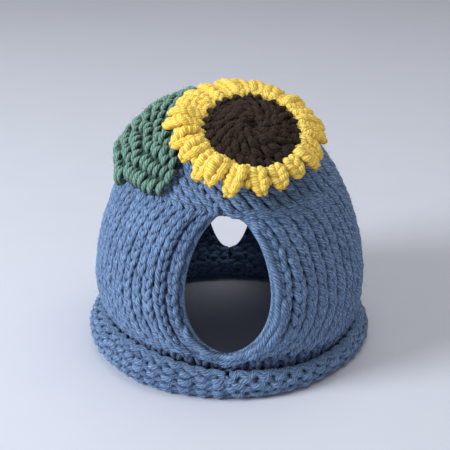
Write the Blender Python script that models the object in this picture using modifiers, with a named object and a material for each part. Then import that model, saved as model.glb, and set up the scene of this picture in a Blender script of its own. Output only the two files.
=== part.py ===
"""Knitted tea cosy: two stocking-stitch panels with a rolled hem, a garter leaf and a sunflower.

Standalone Blender 4.5 script, in metres with +Z up. The hem stands on z = 0, the spout opening
faces -Y and the handle opening faces +Y. Sizes below are in millimetres.
"""

import math
import random

import bmesh
import bpy
import numpy as np
from mathutils import Matrix, Vector

MM = 0.001

# The cloth, measured at the middle of its thickness.
CLOTH = 3.0
DOME_RADIUS = 58.5
DOME_TOP = 110.5
WIDEST_Z = 32.0
SHOULDER_RISE = 1.7
SHOULDER_TURN = 2.0
CROWN_HOLE = 1.2
SEAM_GAP = 0.8

# The rolled hem: its thickness all through, and the ring that the middle of the roll follows.
HEM = (
    # azimuth in degrees, radius of the roll, radius of the ring
    (-180, 7.2, 56.8),
    (-130, 7.8, 56.0),
    (-91, 6.0, 54.9),
    (-50, 5.0, 55.8),
    (0, 5.3, 58.7),
    (90, 6.2, 54.7),
    (135, 6.6, 56.2),
    (180, 7.2, 56.8),
)
HEM_SIT = 0.4
HEM_END = {"latest": 98.0, "earliest": 45.0, "step": 0.25, "gap": 0.6}
HEM_SAMPLES = {"outside": 9, "under": 5, "inside": 6}

# The two openings between the panels, each an egg on the front or back seam.
SPOUT = {"azimuth": -90.8, "half_angle": 19.8, "bottom": 19.6, "widest": 46.0, "top": 78.0}
HANDLE = {"azimuth": 90.0, "half_angle": 12.8, "bottom": 14.5, "widest": 50.0, "top": 84.0}
SEAM_LEAN = {"angle": -25.0, "from_z": 74.0, "to_z": 96.0}
EDGE_PULL = 0.45
EDGE_CURL = {"depth": 1.4, "reach": 0.05}
EDGE_FOLLOWS_FOOT = 21.0

# How finely the panels are divided, and how finely a line up the dome is measured.
ROWS_DOME = 28
COLUMNS = 26
LINE = {"bend_z": 90.0, "below": 4000, "above": 1500}

# The leaf, laid on the dome: its axis points from the crown to its tip.
LEAF_THICK = 3.8
LEAF_GAP = 0.5
LEAF_AZIMUTH = -165.0
LEAF_ROWS = (
    # distance along the axis, width on the front side, width on the back side
    (9.0, -9.0, 12.0),
    (12.0, -4.0, 16.0),
    (16.0, 1.0, 21.0),
    (20.0, 9.0, 24.5),
    (24.0, 20.0, 26.5),
    (28.0, 27.0, 27.0),
    (32.0, 28.0, 27.0),
    (36.0, 25.5, 24.5),
    (40.0, 19.0, 19.0),
    (43.0, 11.0, 13.0),
    (45.0, 3.0, 5.0),
)
LEAF_LIFT = {"most": 4.4, "front": 14.0, "back": -18.0, "root": 34.0, "tip": 49.0, "fall": 12.0}
LEAF_RIDGES = 10
LEAF_RIDGE_RISE = 0.45
LEAF_DIVISIONS = (44, 12)

# The flower: a shallow cap leaning forwards and a little to the right.
FLOWER_APEX = (9.0, -27.2, 108.9)
FLOWER_LEAN = (0.120, -0.440, 0.890)
FLOWER_CURVE = 80.0
CENTRE_RADIUS = 19.2
CENTRE_THICK = 4.3
CENTRE_RISE = 1.8
CENTRE_ROUND = 1.3
CENTRE_RIM = {"corner": 1.2, "lip": 0.8, "lip_rise": 0.2, "shoulder": 2.4}
CENTRE_STEPS = 40
PETALS = 22
PETAL_THICK = 3.8
PETAL_ROOT = 19.9
PETAL_NOTCH = 28.5
PETAL_TIP = 33.3
PETAL_FULLNESS = 2.4
PETAL_LONGER = {"most": 1.5, "azimuth": 160.0}
PETAL_RUFFLE = {"rise": 1.0, "onset": 1.5}
PETAL_UNEVEN = 0.8
PETAL_RIDE = {"most": 4.5, "azimuth": 188.0, "spread": 78.0, "onset": 1.6}
PETAL_DIVISIONS = (8, 5)

WOOL_BLUE = (0.105, 0.185, 0.365)
WOOL_GREEN = (0.125, 0.275, 0.185)
WOOL_YELLOW = (0.900, 0.520, 0.035)
WOOL_BROWN = (0.022, 0.012, 0.009)


def smooth(x):
    """A smooth step from 0 to 1 as x goes from 0 to 1."""
    x = np.clip(x, 0.0, 1.0)
    return x * x * (3.0 - 2.0 * x)


def read_table(table, at, column):
    """A column of a table, eased between its rows."""
    keys = [row[0] for row in table]
    index = int(np.clip(np.searchsorted(keys, at) - 1, 0, len(keys) - 2))
    low, high = table[index], table[index + 1]
    part = smooth((at - low[0]) / (high[0] - low[0]))
    return low[column] + (high[column] - low[column]) * part


def hem_at(azimuth):
    """The roll's radius and its ring's radius at this azimuth in degrees."""
    wrapped = (azimuth + 180.0) % 360.0 - 180.0
    return read_table(HEM, wrapped, 1), read_table(HEM, wrapped, 2)


def foot_at(azimuth):
    """Where the dome leaves the roll: radius, height and lean from the vertical."""
    roll, ring = hem_at(azimuth)
    bend = roll - CLOTH / 2
    lean = 0.3
    for _ in range(6):
        radius = ring - bend * math.cos(lean)
        height = roll - HEM_SIT + bend * math.sin(lean)
        lean = math.atan(2.0 * (DOME_RADIUS - radius) / (WIDEST_Z - height))
    return radius, height, lean


def dome_radius(azimuth, z):
    """Radius of the dome's middle surface at this azimuth and height."""
    if z >= WIDEST_Z:
        rise = min((z - WIDEST_Z) / (DOME_TOP - WIDEST_Z), 1.0)
        return DOME_RADIUS * (1.0 - rise**SHOULDER_RISE) ** (1.0 / SHOULDER_TURN)
    foot_radius, foot_z, _ = foot_at(azimuth)
    below = (WIDEST_Z - z) / (WIDEST_Z - foot_z)
    return DOME_RADIUS - (DOME_RADIUS - foot_radius) * below**2


def crown_z():
    """Height at which the dome closes to the small hole that its gathered crown leaves."""
    closed = (CROWN_HOLE / DOME_RADIUS) ** SHOULDER_TURN
    return WIDEST_Z + (DOME_TOP - WIDEST_Z) * (1.0 - closed) ** (1.0 / SHOULDER_RISE)


def on_dome(azimuth, z, radius=None):
    """A point of the dome's middle surface."""
    radius = dome_radius(azimuth, z) if radius is None else radius
    turn = math.radians(azimuth)
    return Vector((radius * math.cos(turn), radius * math.sin(turn), z))


def above_dome(x, y, height):
    """The point at this height over the dome's middle surface, square to it, near x and y."""
    out = min(math.hypot(x, y), DOME_RADIUS - 1.0)
    rise = (1.0 - (out / DOME_RADIUS) ** SHOULDER_TURN) ** (1.0 / SHOULDER_RISE)
    z = WIDEST_Z + (DOME_TOP - WIDEST_Z) * rise
    steep = SHOULDER_TURN * out ** (SHOULDER_TURN - 1.0) / DOME_RADIUS**SHOULDER_TURN
    flat = SHOULDER_RISE * rise ** (SHOULDER_RISE - 1.0) / (DOME_TOP - WIDEST_Z)
    around = Vector((x, y, 0.0)).normalized() if out > 1e-6 else Vector((1.0, 0.0, 0.0))
    normal = (around * steep + Vector((0.0, 0.0, flat))).normalized()
    return Vector((x, y, z)) + normal * height


def opening_angle(opening, z):
    """Half the angle that an opening spans at this height."""
    if not opening["bottom"] < z < opening["top"]:
        return 0.0
    end = opening["top"] if z > opening["widest"] else opening["bottom"]
    off = (z - opening["widest"]) / (end - opening["widest"])
    return opening["half_angle"] * math.sqrt(1.0 - off * off)


def edge_azimuth(opening, z, side):
    """Azimuth of a panel's edge: the seam, or the rim of the opening in it."""
    lean = 0.0
    if opening is SPOUT:
        span = SEAM_LEAN["to_z"] - SEAM_LEAN["from_z"]
        lean = SEAM_LEAN["angle"] * smooth((z - SEAM_LEAN["from_z"]) / span)
    seam = math.degrees(math.asin(min(SEAM_GAP / 2 / dome_radius(opening["azimuth"], z), 1.0)))
    return opening["azimuth"] + lean + side * max(opening_angle(opening, z), seam)


def spaced_heights(azimuth_of, opening):
    """Heights that divide a line up the dome evenly, with one at each end of an opening."""
    start = foot_at(azimuth_of(WIDEST_Z / 4))[1]
    below = np.linspace(start, LINE["bend_z"], LINE["below"])
    turn = np.linspace(0.0, math.pi / 2, LINE["above"])
    above = LINE["bend_z"] + (crown_z() - LINE["bend_z"]) * np.sin(turn)
    heights = np.concatenate([below[:-1], above])
    points = np.array([on_dome(azimuth_of(z), z) for z in heights])
    steps = np.linalg.norm(np.diff(points, axis=0), axis=1)
    length = np.concatenate([[0.0], np.cumsum(steps)])
    ends = [0.0, 1.0]
    if opening:
        stops = np.interp([opening["bottom"], opening["top"]], heights, length) / length[-1]
        ends[1:1] = list(stops)
    counts = np.diff(np.round(np.array(ends) * ROWS_DOME)).astype(int)
    parts = [
        np.linspace(low, high, count, endpoint=False)
        for low, high, count in zip(ends, ends[1:], counts)
    ]
    return np.interp(np.concatenate(parts + [[1.0]]) * length[-1], length, heights)


def hem_angles(azimuth):
    """Angles round the roll, from the cast-on edge over the outside and under to the foot."""
    roll, ring = hem_at(azimuth)
    bend = roll - CLOTH / 2
    end = HEM_END["latest"]
    while end > HEM_END["earliest"]:
        reach = ring + roll * math.cos(math.radians(end))
        height = roll - HEM_SIT + roll * math.sin(math.radians(end))
        wall = dome_radius(azimuth, height) + CLOTH / 2 / math.cos(foot_at(azimuth)[2])
        if reach - wall >= HEM_END["gap"]:
            break
        end -= HEM_END["step"]
    flat = math.degrees(math.acos((bend - HEM_SIT) / bend))
    foot = -180.0 - math.degrees(foot_at(azimuth)[2])
    outside = np.linspace(end, -90.0 + flat, HEM_SAMPLES["outside"])
    under = np.linspace(-90.0 + flat, -90.0 - flat, HEM_SAMPLES["under"])[1:-1]
    inside = np.linspace(-90.0 - flat, foot, HEM_SAMPLES["inside"])[:-1]
    return np.concatenate([outside, under, inside])


def hem_point(azimuth, angle):
    """A point of the roll's middle surface, pressed flat where it stands."""
    roll, ring = hem_at(azimuth)
    bend = roll - CLOTH / 2
    out = ring + bend * math.cos(math.radians(angle))
    up = roll - HEM_SIT + bend * math.sin(math.radians(angle))
    return on_dome(azimuth, max(up, CLOTH / 2), out)


def edge_curl(opening, z, part):
    """How far the cloth curls inwards beside an opening, part of the way across its panel."""
    open_here = opening_angle(opening, z) / opening["half_angle"]
    return EDGE_CURL["depth"] * open_here * max(0.0, 1.0 - part / EDGE_CURL["reach"])


def panel_points(side):
    """Rows of points over one panel, from its cast-on edge to the crown."""
    back_turn = HANDLE["azimuth"] if side > 0 else HANDLE["azimuth"] - 360.0
    handle = dict(HANDLE, azimuth=back_turn)

    def front(z):
        return edge_azimuth(SPOUT, z, side)

    def back(z):
        return edge_azimuth(handle, z, -side)

    def middle(z):
        return (front(z) + back(z)) / 2

    across = np.linspace(0.0, 1.0, COLUMNS + 1)
    hem_z = SPOUT["bottom"] / 2
    azimuths = [front(hem_z) + (back(hem_z) - front(hem_z)) * part for part in across]
    angles = [hem_angles(azimuth) for azimuth in azimuths]
    rows = [
        [hem_point(azimuth, angle[row]) for azimuth, angle in zip(azimuths, angles)]
        for row in range(len(angles[0]))
    ]
    lines = ((front, SPOUT), (middle, None), (back, HANDLE))
    heights = [spaced_heights(line, opening) for line, opening in lines]
    for front_z, middle_z, back_z in zip(*heights):
        line = []
        for part in across:
            near_front = smooth(1.0 - part / EDGE_PULL)
            near_back = smooth(1.0 - (1.0 - part) / EDGE_PULL)
            z = middle_z + near_front * (front_z - middle_z) + near_back * (back_z - middle_z)
            azimuth = front(front_z) * (1.0 - part) + back(back_z) * part
            if z < EDGE_FOLLOWS_FOOT:
                z = max(z, foot_at(azimuth)[1])
            curl = edge_curl(SPOUT, front_z, part) + edge_curl(handle, back_z, 1.0 - part)
            line.append(on_dome(azimuth, z, dome_radius(azimuth, z) - curl))
        rows.append(line)
    return rows


def grid_object(name, rows, thickness, colour, parts):
    """A grid whose rows are laid on these points, thickened to a closed sheet."""
    mesh = bpy.data.meshes.new(name)
    grid = bmesh.new()
    bmesh.ops.create_grid(grid, x_segments=len(rows[0]) - 1, y_segments=len(rows) - 1, size=1.0)
    grid.verts.ensure_lookup_table()
    for vertex, point in zip(grid.verts, [point for row in rows for point in row]):
        vertex.co = point * MM
    bmesh.ops.recalc_face_normals(grid, faces=grid.faces)
    for face in grid.faces:
        face.smooth = True
    grid.to_mesh(mesh)
    grid.free()
    sheet = bpy.data.objects.new(name, mesh)
    solid = sheet.modifiers.new("thickness", "SOLIDIFY")
    solid.thickness = thickness * MM
    solid.offset = 0.0
    solid.use_even_offset = True
    solid.use_quality_normals = True
    finish(sheet, colour, parts)
    return sheet


def finish(obj, colour, parts):
    """Gives a piece its wool and puts it in the cosy's collection."""
    wool = bpy.data.materials.new(obj.name + "_wool")
    wool.use_nodes = True
    shader = wool.node_tree.nodes["Principled BSDF"]
    shader.inputs["Base Color"].default_value = (*colour, 1.0)
    shader.inputs["Roughness"].default_value = 0.85
    shader.inputs["Metallic"].default_value = 0.0
    wool.diffuse_color = (*colour, 1.0)
    obj.data.materials.append(wool)
    parts.objects.link(obj)


def build_leaf(parts):
    """The garter-stitch leaf, its ridges lying across it, lifted off the dome at the back."""
    turn = math.radians(LEAF_AZIMUTH)
    along = Vector((math.cos(turn), math.sin(turn), 0.0))
    front = Vector((-along.y, along.x, 0.0))
    lengths = np.linspace(LEAF_ROWS[0][0], LEAF_ROWS[-1][0], LEAF_DIVISIONS[0] + 1)
    seat = CLOTH / 2 + LEAF_GAP + LEAF_THICK / 2 + LEAF_RIDGE_RISE
    rows = []
    for index, length in enumerate(lengths):
        ahead, behind = (read_table(LEAF_ROWS, length, column) for column in (1, 2))
        wave = math.cos(2.0 * math.pi * LEAF_RIDGES * index / LEAF_DIVISIONS[0])
        held = smooth(length / LEAF_LIFT["root"])
        held *= smooth((LEAF_LIFT["tip"] - length) / LEAF_LIFT["fall"])
        line = []
        for width in np.linspace(ahead, -behind, LEAF_DIVISIONS[1] + 1):
            spot = along * length + front * width
            fall = (LEAF_LIFT["front"] - width) / (LEAF_LIFT["front"] - LEAF_LIFT["back"])
            lift = LEAF_LIFT["most"] * smooth(fall) * held
            line.append(above_dome(spot.x, spot.y, seat + lift + LEAF_RIDGE_RISE * wave))
        rows.append(line)
    return grid_object("leaf", rows, LEAF_THICK, WOOL_GREEN, parts)


def flower_frame():
    """The flower's place: its axis, and a right-hand direction square to it."""
    axis = Vector(FLOWER_LEAN).normalized()
    right = Vector((1.0, 0.0, 0.0))
    right = (right - axis * right.dot(axis)).normalized()
    return Vector(FLOWER_APEX), axis, right, axis.cross(right)


def flower_point(reach, turn, height):
    """A point over the flower's cap: so far from its middle, round it and above it."""
    apex, axis, right, up = flower_frame()
    bend = reach / FLOWER_CURVE
    out = right * math.cos(turn) + up * math.sin(turn)
    normal = axis * math.cos(bend) + out * math.sin(bend)
    return apex + normal * (FLOWER_CURVE + height) - axis * FLOWER_CURVE


def petal_ride(turn, reach):
    """How far the petals are held up by the leaf under them."""
    off = (math.degrees(turn) - PETAL_RIDE["azimuth"] + 180.0) % 360.0 - 180.0
    over = (reach - PETAL_ROOT) / (PETAL_TIP - PETAL_ROOT)
    near = smooth(1.0 - abs(off) / PETAL_RIDE["spread"])
    return PETAL_RIDE["most"] * near * smooth(over * PETAL_RIDE["onset"])


def build_petals(parts):
    """The ring of crocheted petals, one ruffled piece with a notch between each pair."""
    chance = random.Random(7)
    steps, rings = PETAL_DIVISIONS
    longer = [chance.uniform(-PETAL_UNEVEN, PETAL_UNEVEN) for _ in range(PETALS)]
    columns = []
    for index in range(PETALS * steps):
        turn = 2.0 * math.pi * index / (PETALS * steps)
        inside = (index % steps) / steps * 2.0 - 1.0
        lobe = 1.0 - abs(inside) ** PETAL_FULLNESS
        leaning = PETAL_LONGER["most"] * math.cos(turn - math.radians(PETAL_LONGER["azimuth"]))
        tip = PETAL_TIP + leaning + longer[index // steps]
        reach = PETAL_NOTCH + leaning + (tip - PETAL_NOTCH - leaning) * lobe
        column = []
        for ring in range(rings + 1):
            part = ring / rings
            out = PETAL_ROOT + (reach - PETAL_ROOT) * part
            ruffle = PETAL_RUFFLE["rise"] * (lobe - 0.5) * smooth(part * PETAL_RUFFLE["onset"])
            height = ruffle - PETAL_THICK / 2 + petal_ride(turn, out)
            column.append(flower_point(out, turn, height))
        columns.append(column)
    rows = [list(row) for row in zip(*(columns + [columns[0]]))]
    petals = grid_object("flower_petals", rows, PETAL_THICK, WOOL_YELLOW, parts)
    joined = bmesh.new()
    joined.from_mesh(petals.data)
    bmesh.ops.remove_doubles(joined, verts=joined.verts, dist=1e-6)
    bmesh.ops.recalc_face_normals(joined, faces=joined.faces)
    joined.to_mesh(petals.data)
    joined.free()
    return petals


def build_centre(parts):
    """The crocheted middle of the flower, turned from its half outline."""
    apex, axis, right, up = flower_frame()
    edge, rim = CENTRE_RADIUS, CENTRE_RIM
    under = [(reach, -CENTRE_THICK) for reach in np.linspace(0.0, edge - rim["corner"], 5)]
    side = [
        (edge, rim["corner"] - CENTRE_THICK),
        (edge, -rim["corner"]),
        (edge - rim["lip"], rim["lip_rise"]),
    ]
    top = [
        (reach, CENTRE_RISE * math.sqrt(math.cos(CENTRE_ROUND * reach / edge)))
        for reach in np.linspace(edge - rim["shoulder"], 0.0, 7)
    ]
    mesh = bpy.data.meshes.new("flower_centre")
    outline = bmesh.new()
    points = []
    for reach, height in under + side + top:
        bend = reach / FLOWER_CURVE
        out = (FLOWER_CURVE + height) * math.sin(bend)
        over = (FLOWER_CURVE + height) * math.cos(bend) - FLOWER_CURVE
        points.append(outline.verts.new((out * MM, 0.0, over * MM)))
    for first, second in zip(points, points[1:]):
        outline.edges.new((first, second))
    outline.to_mesh(mesh)
    outline.free()
    centre = bpy.data.objects.new("flower_centre", mesh)
    turn = centre.modifiers.new("turn", "SCREW")
    turn.steps = turn.render_steps = CENTRE_STEPS
    turn.use_merge_vertices = True
    turn.merge_threshold = 1e-6
    turn.use_smooth_shade = True
    turn.use_normal_calculate = True
    turned = Matrix((right, up, axis)).transposed().to_4x4()
    centre.matrix_world = Matrix.Translation(apex * MM) @ turned
    finish(centre, WOOL_BROWN, parts)
    return centre


def main():
    for obj in list(bpy.data.objects):
        bpy.data.objects.remove(obj)
    parts = bpy.data.collections.new("tea_cosy")
    bpy.context.scene.collection.children.link(parts)
    grid_object("panel_left", panel_points(-1), CLOTH, WOOL_BLUE, parts)
    grid_object("panel_right", panel_points(1), CLOTH, WOOL_BLUE, parts)
    build_leaf(parts)
    build_petals(parts)
    build_centre(parts)


main()
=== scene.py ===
# %% [markdown]
# # A knitted tea cosy with a sunflower
# The cosy is two stocking-stitch panels seamed round a teapot, with a garter-stitch leaf and a
# crocheted sunflower sewn on the crown. Its solids are plain sheets of the right shape and size.
# Here every stitch is laid on those sheets as real yarn, because the light on wool comes from the
# way one strand dips under the next, and a flat sheet with a knitted pattern never shows that.
# Everything below is in millimetres, and turns to metres when a mesh is made.

# %% The fixed frame and its box
import math

import bpy
import numpy as np
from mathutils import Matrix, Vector


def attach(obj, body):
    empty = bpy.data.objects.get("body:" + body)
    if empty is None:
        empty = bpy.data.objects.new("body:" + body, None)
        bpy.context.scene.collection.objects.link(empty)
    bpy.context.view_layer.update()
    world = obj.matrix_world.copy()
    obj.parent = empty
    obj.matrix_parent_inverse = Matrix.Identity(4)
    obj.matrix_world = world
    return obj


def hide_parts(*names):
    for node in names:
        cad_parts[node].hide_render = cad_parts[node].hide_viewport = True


MM = 0.001
TINY = 1e-9
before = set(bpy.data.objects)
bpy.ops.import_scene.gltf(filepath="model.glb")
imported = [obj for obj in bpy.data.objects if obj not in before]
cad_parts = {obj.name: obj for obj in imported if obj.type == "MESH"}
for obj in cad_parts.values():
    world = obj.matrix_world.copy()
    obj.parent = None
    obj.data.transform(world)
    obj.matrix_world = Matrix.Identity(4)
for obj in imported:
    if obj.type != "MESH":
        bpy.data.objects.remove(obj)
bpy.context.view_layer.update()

# %% [markdown]
# ## The shape of the cloth
# The wool has to lie exactly where the sheets are, so the cosy's shape is written once more with
# the same named sizes: a dome that stands on a rolled hem, with an egg-shaped opening on the front
# seam for the spout and a slimmer one on the back seam for the handle. Measuring the sheets' own
# points would also work, but a formula gives a smooth place and a direction anywhere on the cloth.

# %% Sizes of the dome, its hem and its openings
CLOTH = 3.0
DOME_RADIUS = 58.5
DOME_TOP = 110.5
WIDEST_Z = 32.0
SHOULDER_RISE = 1.7
SHOULDER_TURN = 2.0
CROWN_HOLE = 1.2
HEM = np.array(
    [
        # azimuth in degrees, radius of the roll, radius of the ring
        (-180, 7.2, 56.8),
        (-130, 7.8, 56.0),
        (-91, 6.0, 54.9),
        (-50, 5.0, 55.8),
        (0, 5.3, 58.7),
        (90, 6.2, 54.7),
        (135, 6.6, 56.2),
        (180, 7.2, 56.8),
    ]
)
HEM_SIT = 0.4
HEM_END = {"latest": 98.0, "earliest": 45.0, "step": 0.25, "gap": 0.6}
SPOUT = {"azimuth": -90.8, "half_angle": 19.8, "bottom": 19.6, "widest": 46.0, "top": 78.0}
HANDLE = {"azimuth": 90.0, "half_angle": 12.8, "bottom": 14.5, "widest": 50.0, "top": 84.0}
SEAM_LEAN = {"angle": -25.0, "from_z": 74.0, "to_z": 96.0}
SEAM_GAP = 0.8
print("the dome is", 2 * DOME_RADIUS + CLOTH, "mm across")

# %% The outline of hem and dome
FOOT = {"first_lean": 0.3, "rounds": 6}


def smooth(x):
    """A smooth step from 0 to 1 as x goes from 0 to 1."""
    x = np.clip(x, 0.0, 1.0)
    return x * x * (3.0 - 2.0 * x)


def hem_at(azimuth):
    """The roll's radius and its ring's radius at each azimuth in degrees."""
    wrapped = (np.asarray(azimuth) + 180.0) % 360.0 - 180.0
    index = np.clip(np.searchsorted(HEM[:, 0], wrapped) - 1, 0, len(HEM) - 2)
    part = smooth((wrapped - HEM[index, 0]) / (HEM[index + 1, 0] - HEM[index, 0]))
    return [HEM[index, k] + (HEM[index + 1, k] - HEM[index, k]) * part for k in (1, 2)]


def foot_at(azimuth):
    """Where the dome leaves the roll: radius, height and lean from the vertical."""
    roll, ring = hem_at(azimuth)
    bend = roll - CLOTH / 2
    lean = FOOT["first_lean"]
    for _ in range(FOOT["rounds"]):
        radius = ring - bend * np.cos(lean)
        height = roll - HEM_SIT + bend * np.sin(lean)
        lean = np.arctan(2.0 * (DOME_RADIUS - radius) / (WIDEST_Z - height))
    return radius, height, lean


def dome_radius(azimuth, z):
    """Radius of the cloth's middle at each azimuth and height."""
    rise = np.clip((z - WIDEST_Z) / (DOME_TOP - WIDEST_Z), 0.0, 1.0)
    above = DOME_RADIUS * (1.0 - rise**SHOULDER_RISE) ** (1.0 / SHOULDER_TURN)
    foot_radius, foot_z, _ = foot_at(azimuth)
    below = (WIDEST_Z - z) / (WIDEST_Z - foot_z)
    return np.where(z >= WIDEST_Z, above, DOME_RADIUS - (DOME_RADIUS - foot_radius) * below**2)


print("at the front the dome leaves its hem at", round(float(foot_at(-90.0)[1]), 1), "mm")

# %% The crown, and points round the axis


def crown_z():
    """Height at which the gathered crown closes to its small hole."""
    closed = (CROWN_HOLE / DOME_RADIUS) ** SHOULDER_TURN
    return WIDEST_Z + (DOME_TOP - WIDEST_Z) * (1.0 - closed) ** (1.0 / SHOULDER_RISE)


def round_axis(radius, azimuth, z):
    """Points at a radius and azimuth about the cosy's axis."""
    turn = np.radians(azimuth)
    return np.stack(np.broadcast_arrays(radius * np.cos(turn), radius * np.sin(turn), z), -1)


print("the dome closes at", round(float(crown_z()), 1), "mm")

# %% Where the panels end at the front and the back


def opening_angle(opening, z):
    """Half the angle that an opening spans at each height."""
    end = np.where(z > opening["widest"], opening["top"], opening["bottom"])
    off = np.clip((z - opening["widest"]) / (end - opening["widest"]), 0.0, 1.0)
    return opening["half_angle"] * np.sqrt(1.0 - off * off)


def edge_azimuth(opening, z, side, turned=0.0):
    """Azimuth of a panel's edge: the seam, or the rim of the opening in it."""
    z = np.asarray(z, float)
    span = SEAM_LEAN["to_z"] - SEAM_LEAN["from_z"]
    lean = SEAM_LEAN["angle"] * smooth((z - SEAM_LEAN["from_z"]) / span) * (opening is SPOUT)
    half = np.minimum(SEAM_GAP / 2 / np.maximum(dome_radius(opening["azimuth"], z), 1e-6), 1.0)
    seam = np.degrees(np.arcsin(half))
    return opening["azimuth"] + turned + lean + side * np.maximum(opening_angle(opening, z), seam)


print("the spout opening is", SPOUT["top"] - SPOUT["bottom"], "mm tall")

# %% Even rows up the dome, and the end of the roll
LINE = {"low_z": WIDEST_Z / 4, "bend_z": 90.0, "below": 4000, "above": 1500}


def even_heights(azimuth_of, parts):
    """Heights that divide a line up the dome into lengths of the given shares."""
    start = foot_at(azimuth_of(LINE["low_z"]))[1]
    turn = np.linspace(0.0, math.pi / 2, LINE["above"])
    below = np.linspace(start, LINE["bend_z"], LINE["below"])
    above = LINE["bend_z"] + (crown_z() - LINE["bend_z"]) * np.sin(turn)
    heights = np.concatenate([below[:-1], above])
    azimuths = azimuth_of(heights)
    points = round_axis(dome_radius(azimuths, heights), azimuths, heights)
    steps = np.linalg.norm(np.diff(points, axis=0), axis=1)
    length = np.concatenate([[0.0], np.cumsum(steps)])
    return np.interp(parts * length[-1], length, heights), length[-1]


def roll_end(azimuth):
    """How far up the outside of the roll its cast-on edge reaches, clear of the dome."""
    roll, ring = hem_at(azimuth)
    ends = np.arange(HEM_END["latest"], HEM_END["earliest"], -HEM_END["step"])[:, None]
    reach = ring + roll * np.cos(np.radians(ends))
    height = roll - HEM_SIT + roll * np.sin(np.radians(ends))
    wall = dome_radius(azimuth[None, :], height) + CLOTH / 2 / np.cos(foot_at(azimuth)[2])
    return ends[np.argmax(reach - wall >= HEM_END["gap"], axis=0), 0]


print("at the front the hem rolls up to", roll_end(np.array([-90.0]))[0], "degrees")

# %% [markdown]
# ## A map of each panel
# Knitting has its own grid: wales run up and rows run across. Each panel gets a fine table of
# points on that grid, from the front edge to the back and from the cast-on edge, round the rolled
# hem, up to the crown. A stitch then only says how far across, how far up and how far out it is.

# %% The rolled hem, and edges that curl in
ACROSS_STEPS = 5
ROW_STEPS = 8
EDGE_CURL = {"depth": 3.6, "reach": 0.045, "power": 1.6}


def rolled_hem(azimuth, hem_rows):
    """The hem's points: from its cast-on edge round the outside of the roll to the dome's foot."""
    roll, ring = hem_at(azimuth)
    bend = roll - CLOTH / 2
    lean = foot_at(azimuth)[2]
    end = roll_end(azimuth)
    share = np.linspace(0.0, 1.0, hem_rows * ROW_STEPS + 1)[:-1, None]
    angle = np.radians(end + (-180.0 - np.degrees(lean) - end) * share)
    up = np.maximum(roll - HEM_SIT + bend * np.sin(angle), CLOTH / 2)
    return round_axis(ring + bend * np.cos(angle), azimuth, up)


def edge_curl(opening, heights, from_edge):
    """How far the cloth curls in beside an opening, from 0 to 1."""
    open_share = opening_angle(opening, heights) / opening["half_angle"]
    near = np.maximum(0.0, 1.0 - from_edge / EDGE_CURL["reach"])
    return open_share * near ** EDGE_CURL["power"]


print("edges of the openings curl in by", EDGE_CURL["depth"], "mm")

# %% The table of points
EDGE_PULL = 0.45
FOLLOWS_FOOT_Z = 21.0


def panel_map(side, wales, hem_rows, dome_rows):
    """The middle of a panel's cloth: points and outward directions on its knitted grid."""
    turned = 0.0 if side > 0 else -360.0

    def front(z):
        """Azimuth of the front edge."""
        return edge_azimuth(SPOUT, z, side)

    def back(z):
        """Azimuth of the back edge."""
        return edge_azimuth(HANDLE, z, -side, turned)

    def middle(z):
        """Azimuth halfway between the two."""
        return (front(z) + back(z)) / 2

    part = np.linspace(0.0, 1.0, wales * ACROSS_STEPS + 1)
    low = SPOUT["bottom"] / 2
    hem = rolled_hem(front(low) + (back(low) - front(low)) * part, hem_rows)

    share = np.linspace(0.0, 1.0, dome_rows * ROW_STEPS + 1)
    lines = [even_heights(line, share) for line in (front, middle, back)]
    front_z, middle_z, back_z = [line[0][:, None] for line in lines]
    near_front = smooth(1.0 - part / EDGE_PULL)
    near_back = smooth(1.0 - (1.0 - part) / EDGE_PULL)
    z = middle_z + near_front * (front_z - middle_z) + near_back * (back_z - middle_z)
    azimuth = front(front_z) * (1.0 - part) + back(back_z) * part
    z = np.where(z < FOLLOWS_FOOT_Z, np.maximum(z, foot_at(azimuth)[1]), z)
    curl = edge_curl(SPOUT, front_z, part) + edge_curl(HANDLE, back_z, 1.0 - part)
    dome = round_axis(dome_radius(azimuth, z) - EDGE_CURL["depth"] * curl, azimuth, z)

    points = np.concatenate([hem, dome])
    outward = side * np.cross(np.gradient(points, axis=1), np.gradient(points, axis=0))
    outward /= np.maximum(np.linalg.norm(outward, axis=-1, keepdims=True), TINY)
    print("panel", side, "lines up the dome, mm:", [round(float(line[1])) for line in lines])
    rows = np.linspace(0.0, dome_rows, len(share)) + hem_rows
    front_open = opening_angle(SPOUT, front_z[:, 0]) / SPOUT["half_angle"]
    back_open = opening_angle(HANDLE, back_z[:, 0]) / HANDLE["half_angle"]
    return {
        "points": points,
        "outward": outward,
        "rows": hem_rows + dome_rows,
        "hem_rows": hem_rows,
        "side": side,
        "open": (rows, front_open, back_open),
    }


print("the table has", ACROSS_STEPS, "points a wale and", ROW_STEPS, "a row")

# %% Reading the table


def read_map(cloth, across, rows, lift):
    """Points over the cloth, and the outward directions there."""
    down, wide = cloth["points"].shape[:2]
    x = np.clip(across, 0.0, 1.0) * (wide - 1)
    y = np.clip(rows / cloth["rows"], 0.0, 1.0) * (down - 1)
    ix = np.clip(x.astype(int), 0, wide - 2)
    iy = np.clip(y.astype(int), 0, down - 2)
    fx, fy = (x - ix)[..., None], (y - iy)[..., None]

    def blend(table):
        """The table's value between its four nearest points."""
        first = table[iy, ix] * (1 - fx) + table[iy, ix + 1] * fx
        second = table[iy + 1, ix] * (1 - fx) + table[iy + 1, ix + 1] * fx
        return first * (1 - fy) + second * fy

    outward = blend(cloth["outward"])
    outward /= np.linalg.norm(outward, axis=-1, keepdims=True)
    return blend(cloth["points"]) + outward * np.asarray(lift)[..., None], outward


square = {"points": np.zeros((2, 2, 3)), "outward": np.ones((2, 2, 3)), "rows": 1}
spot, _ = read_map(square, np.array([0.5]), np.array([0.5]), np.array([1.0]))
print("a point 1 mm over a cloth that faces a corner:", spot.round(2).tolist())

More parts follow.
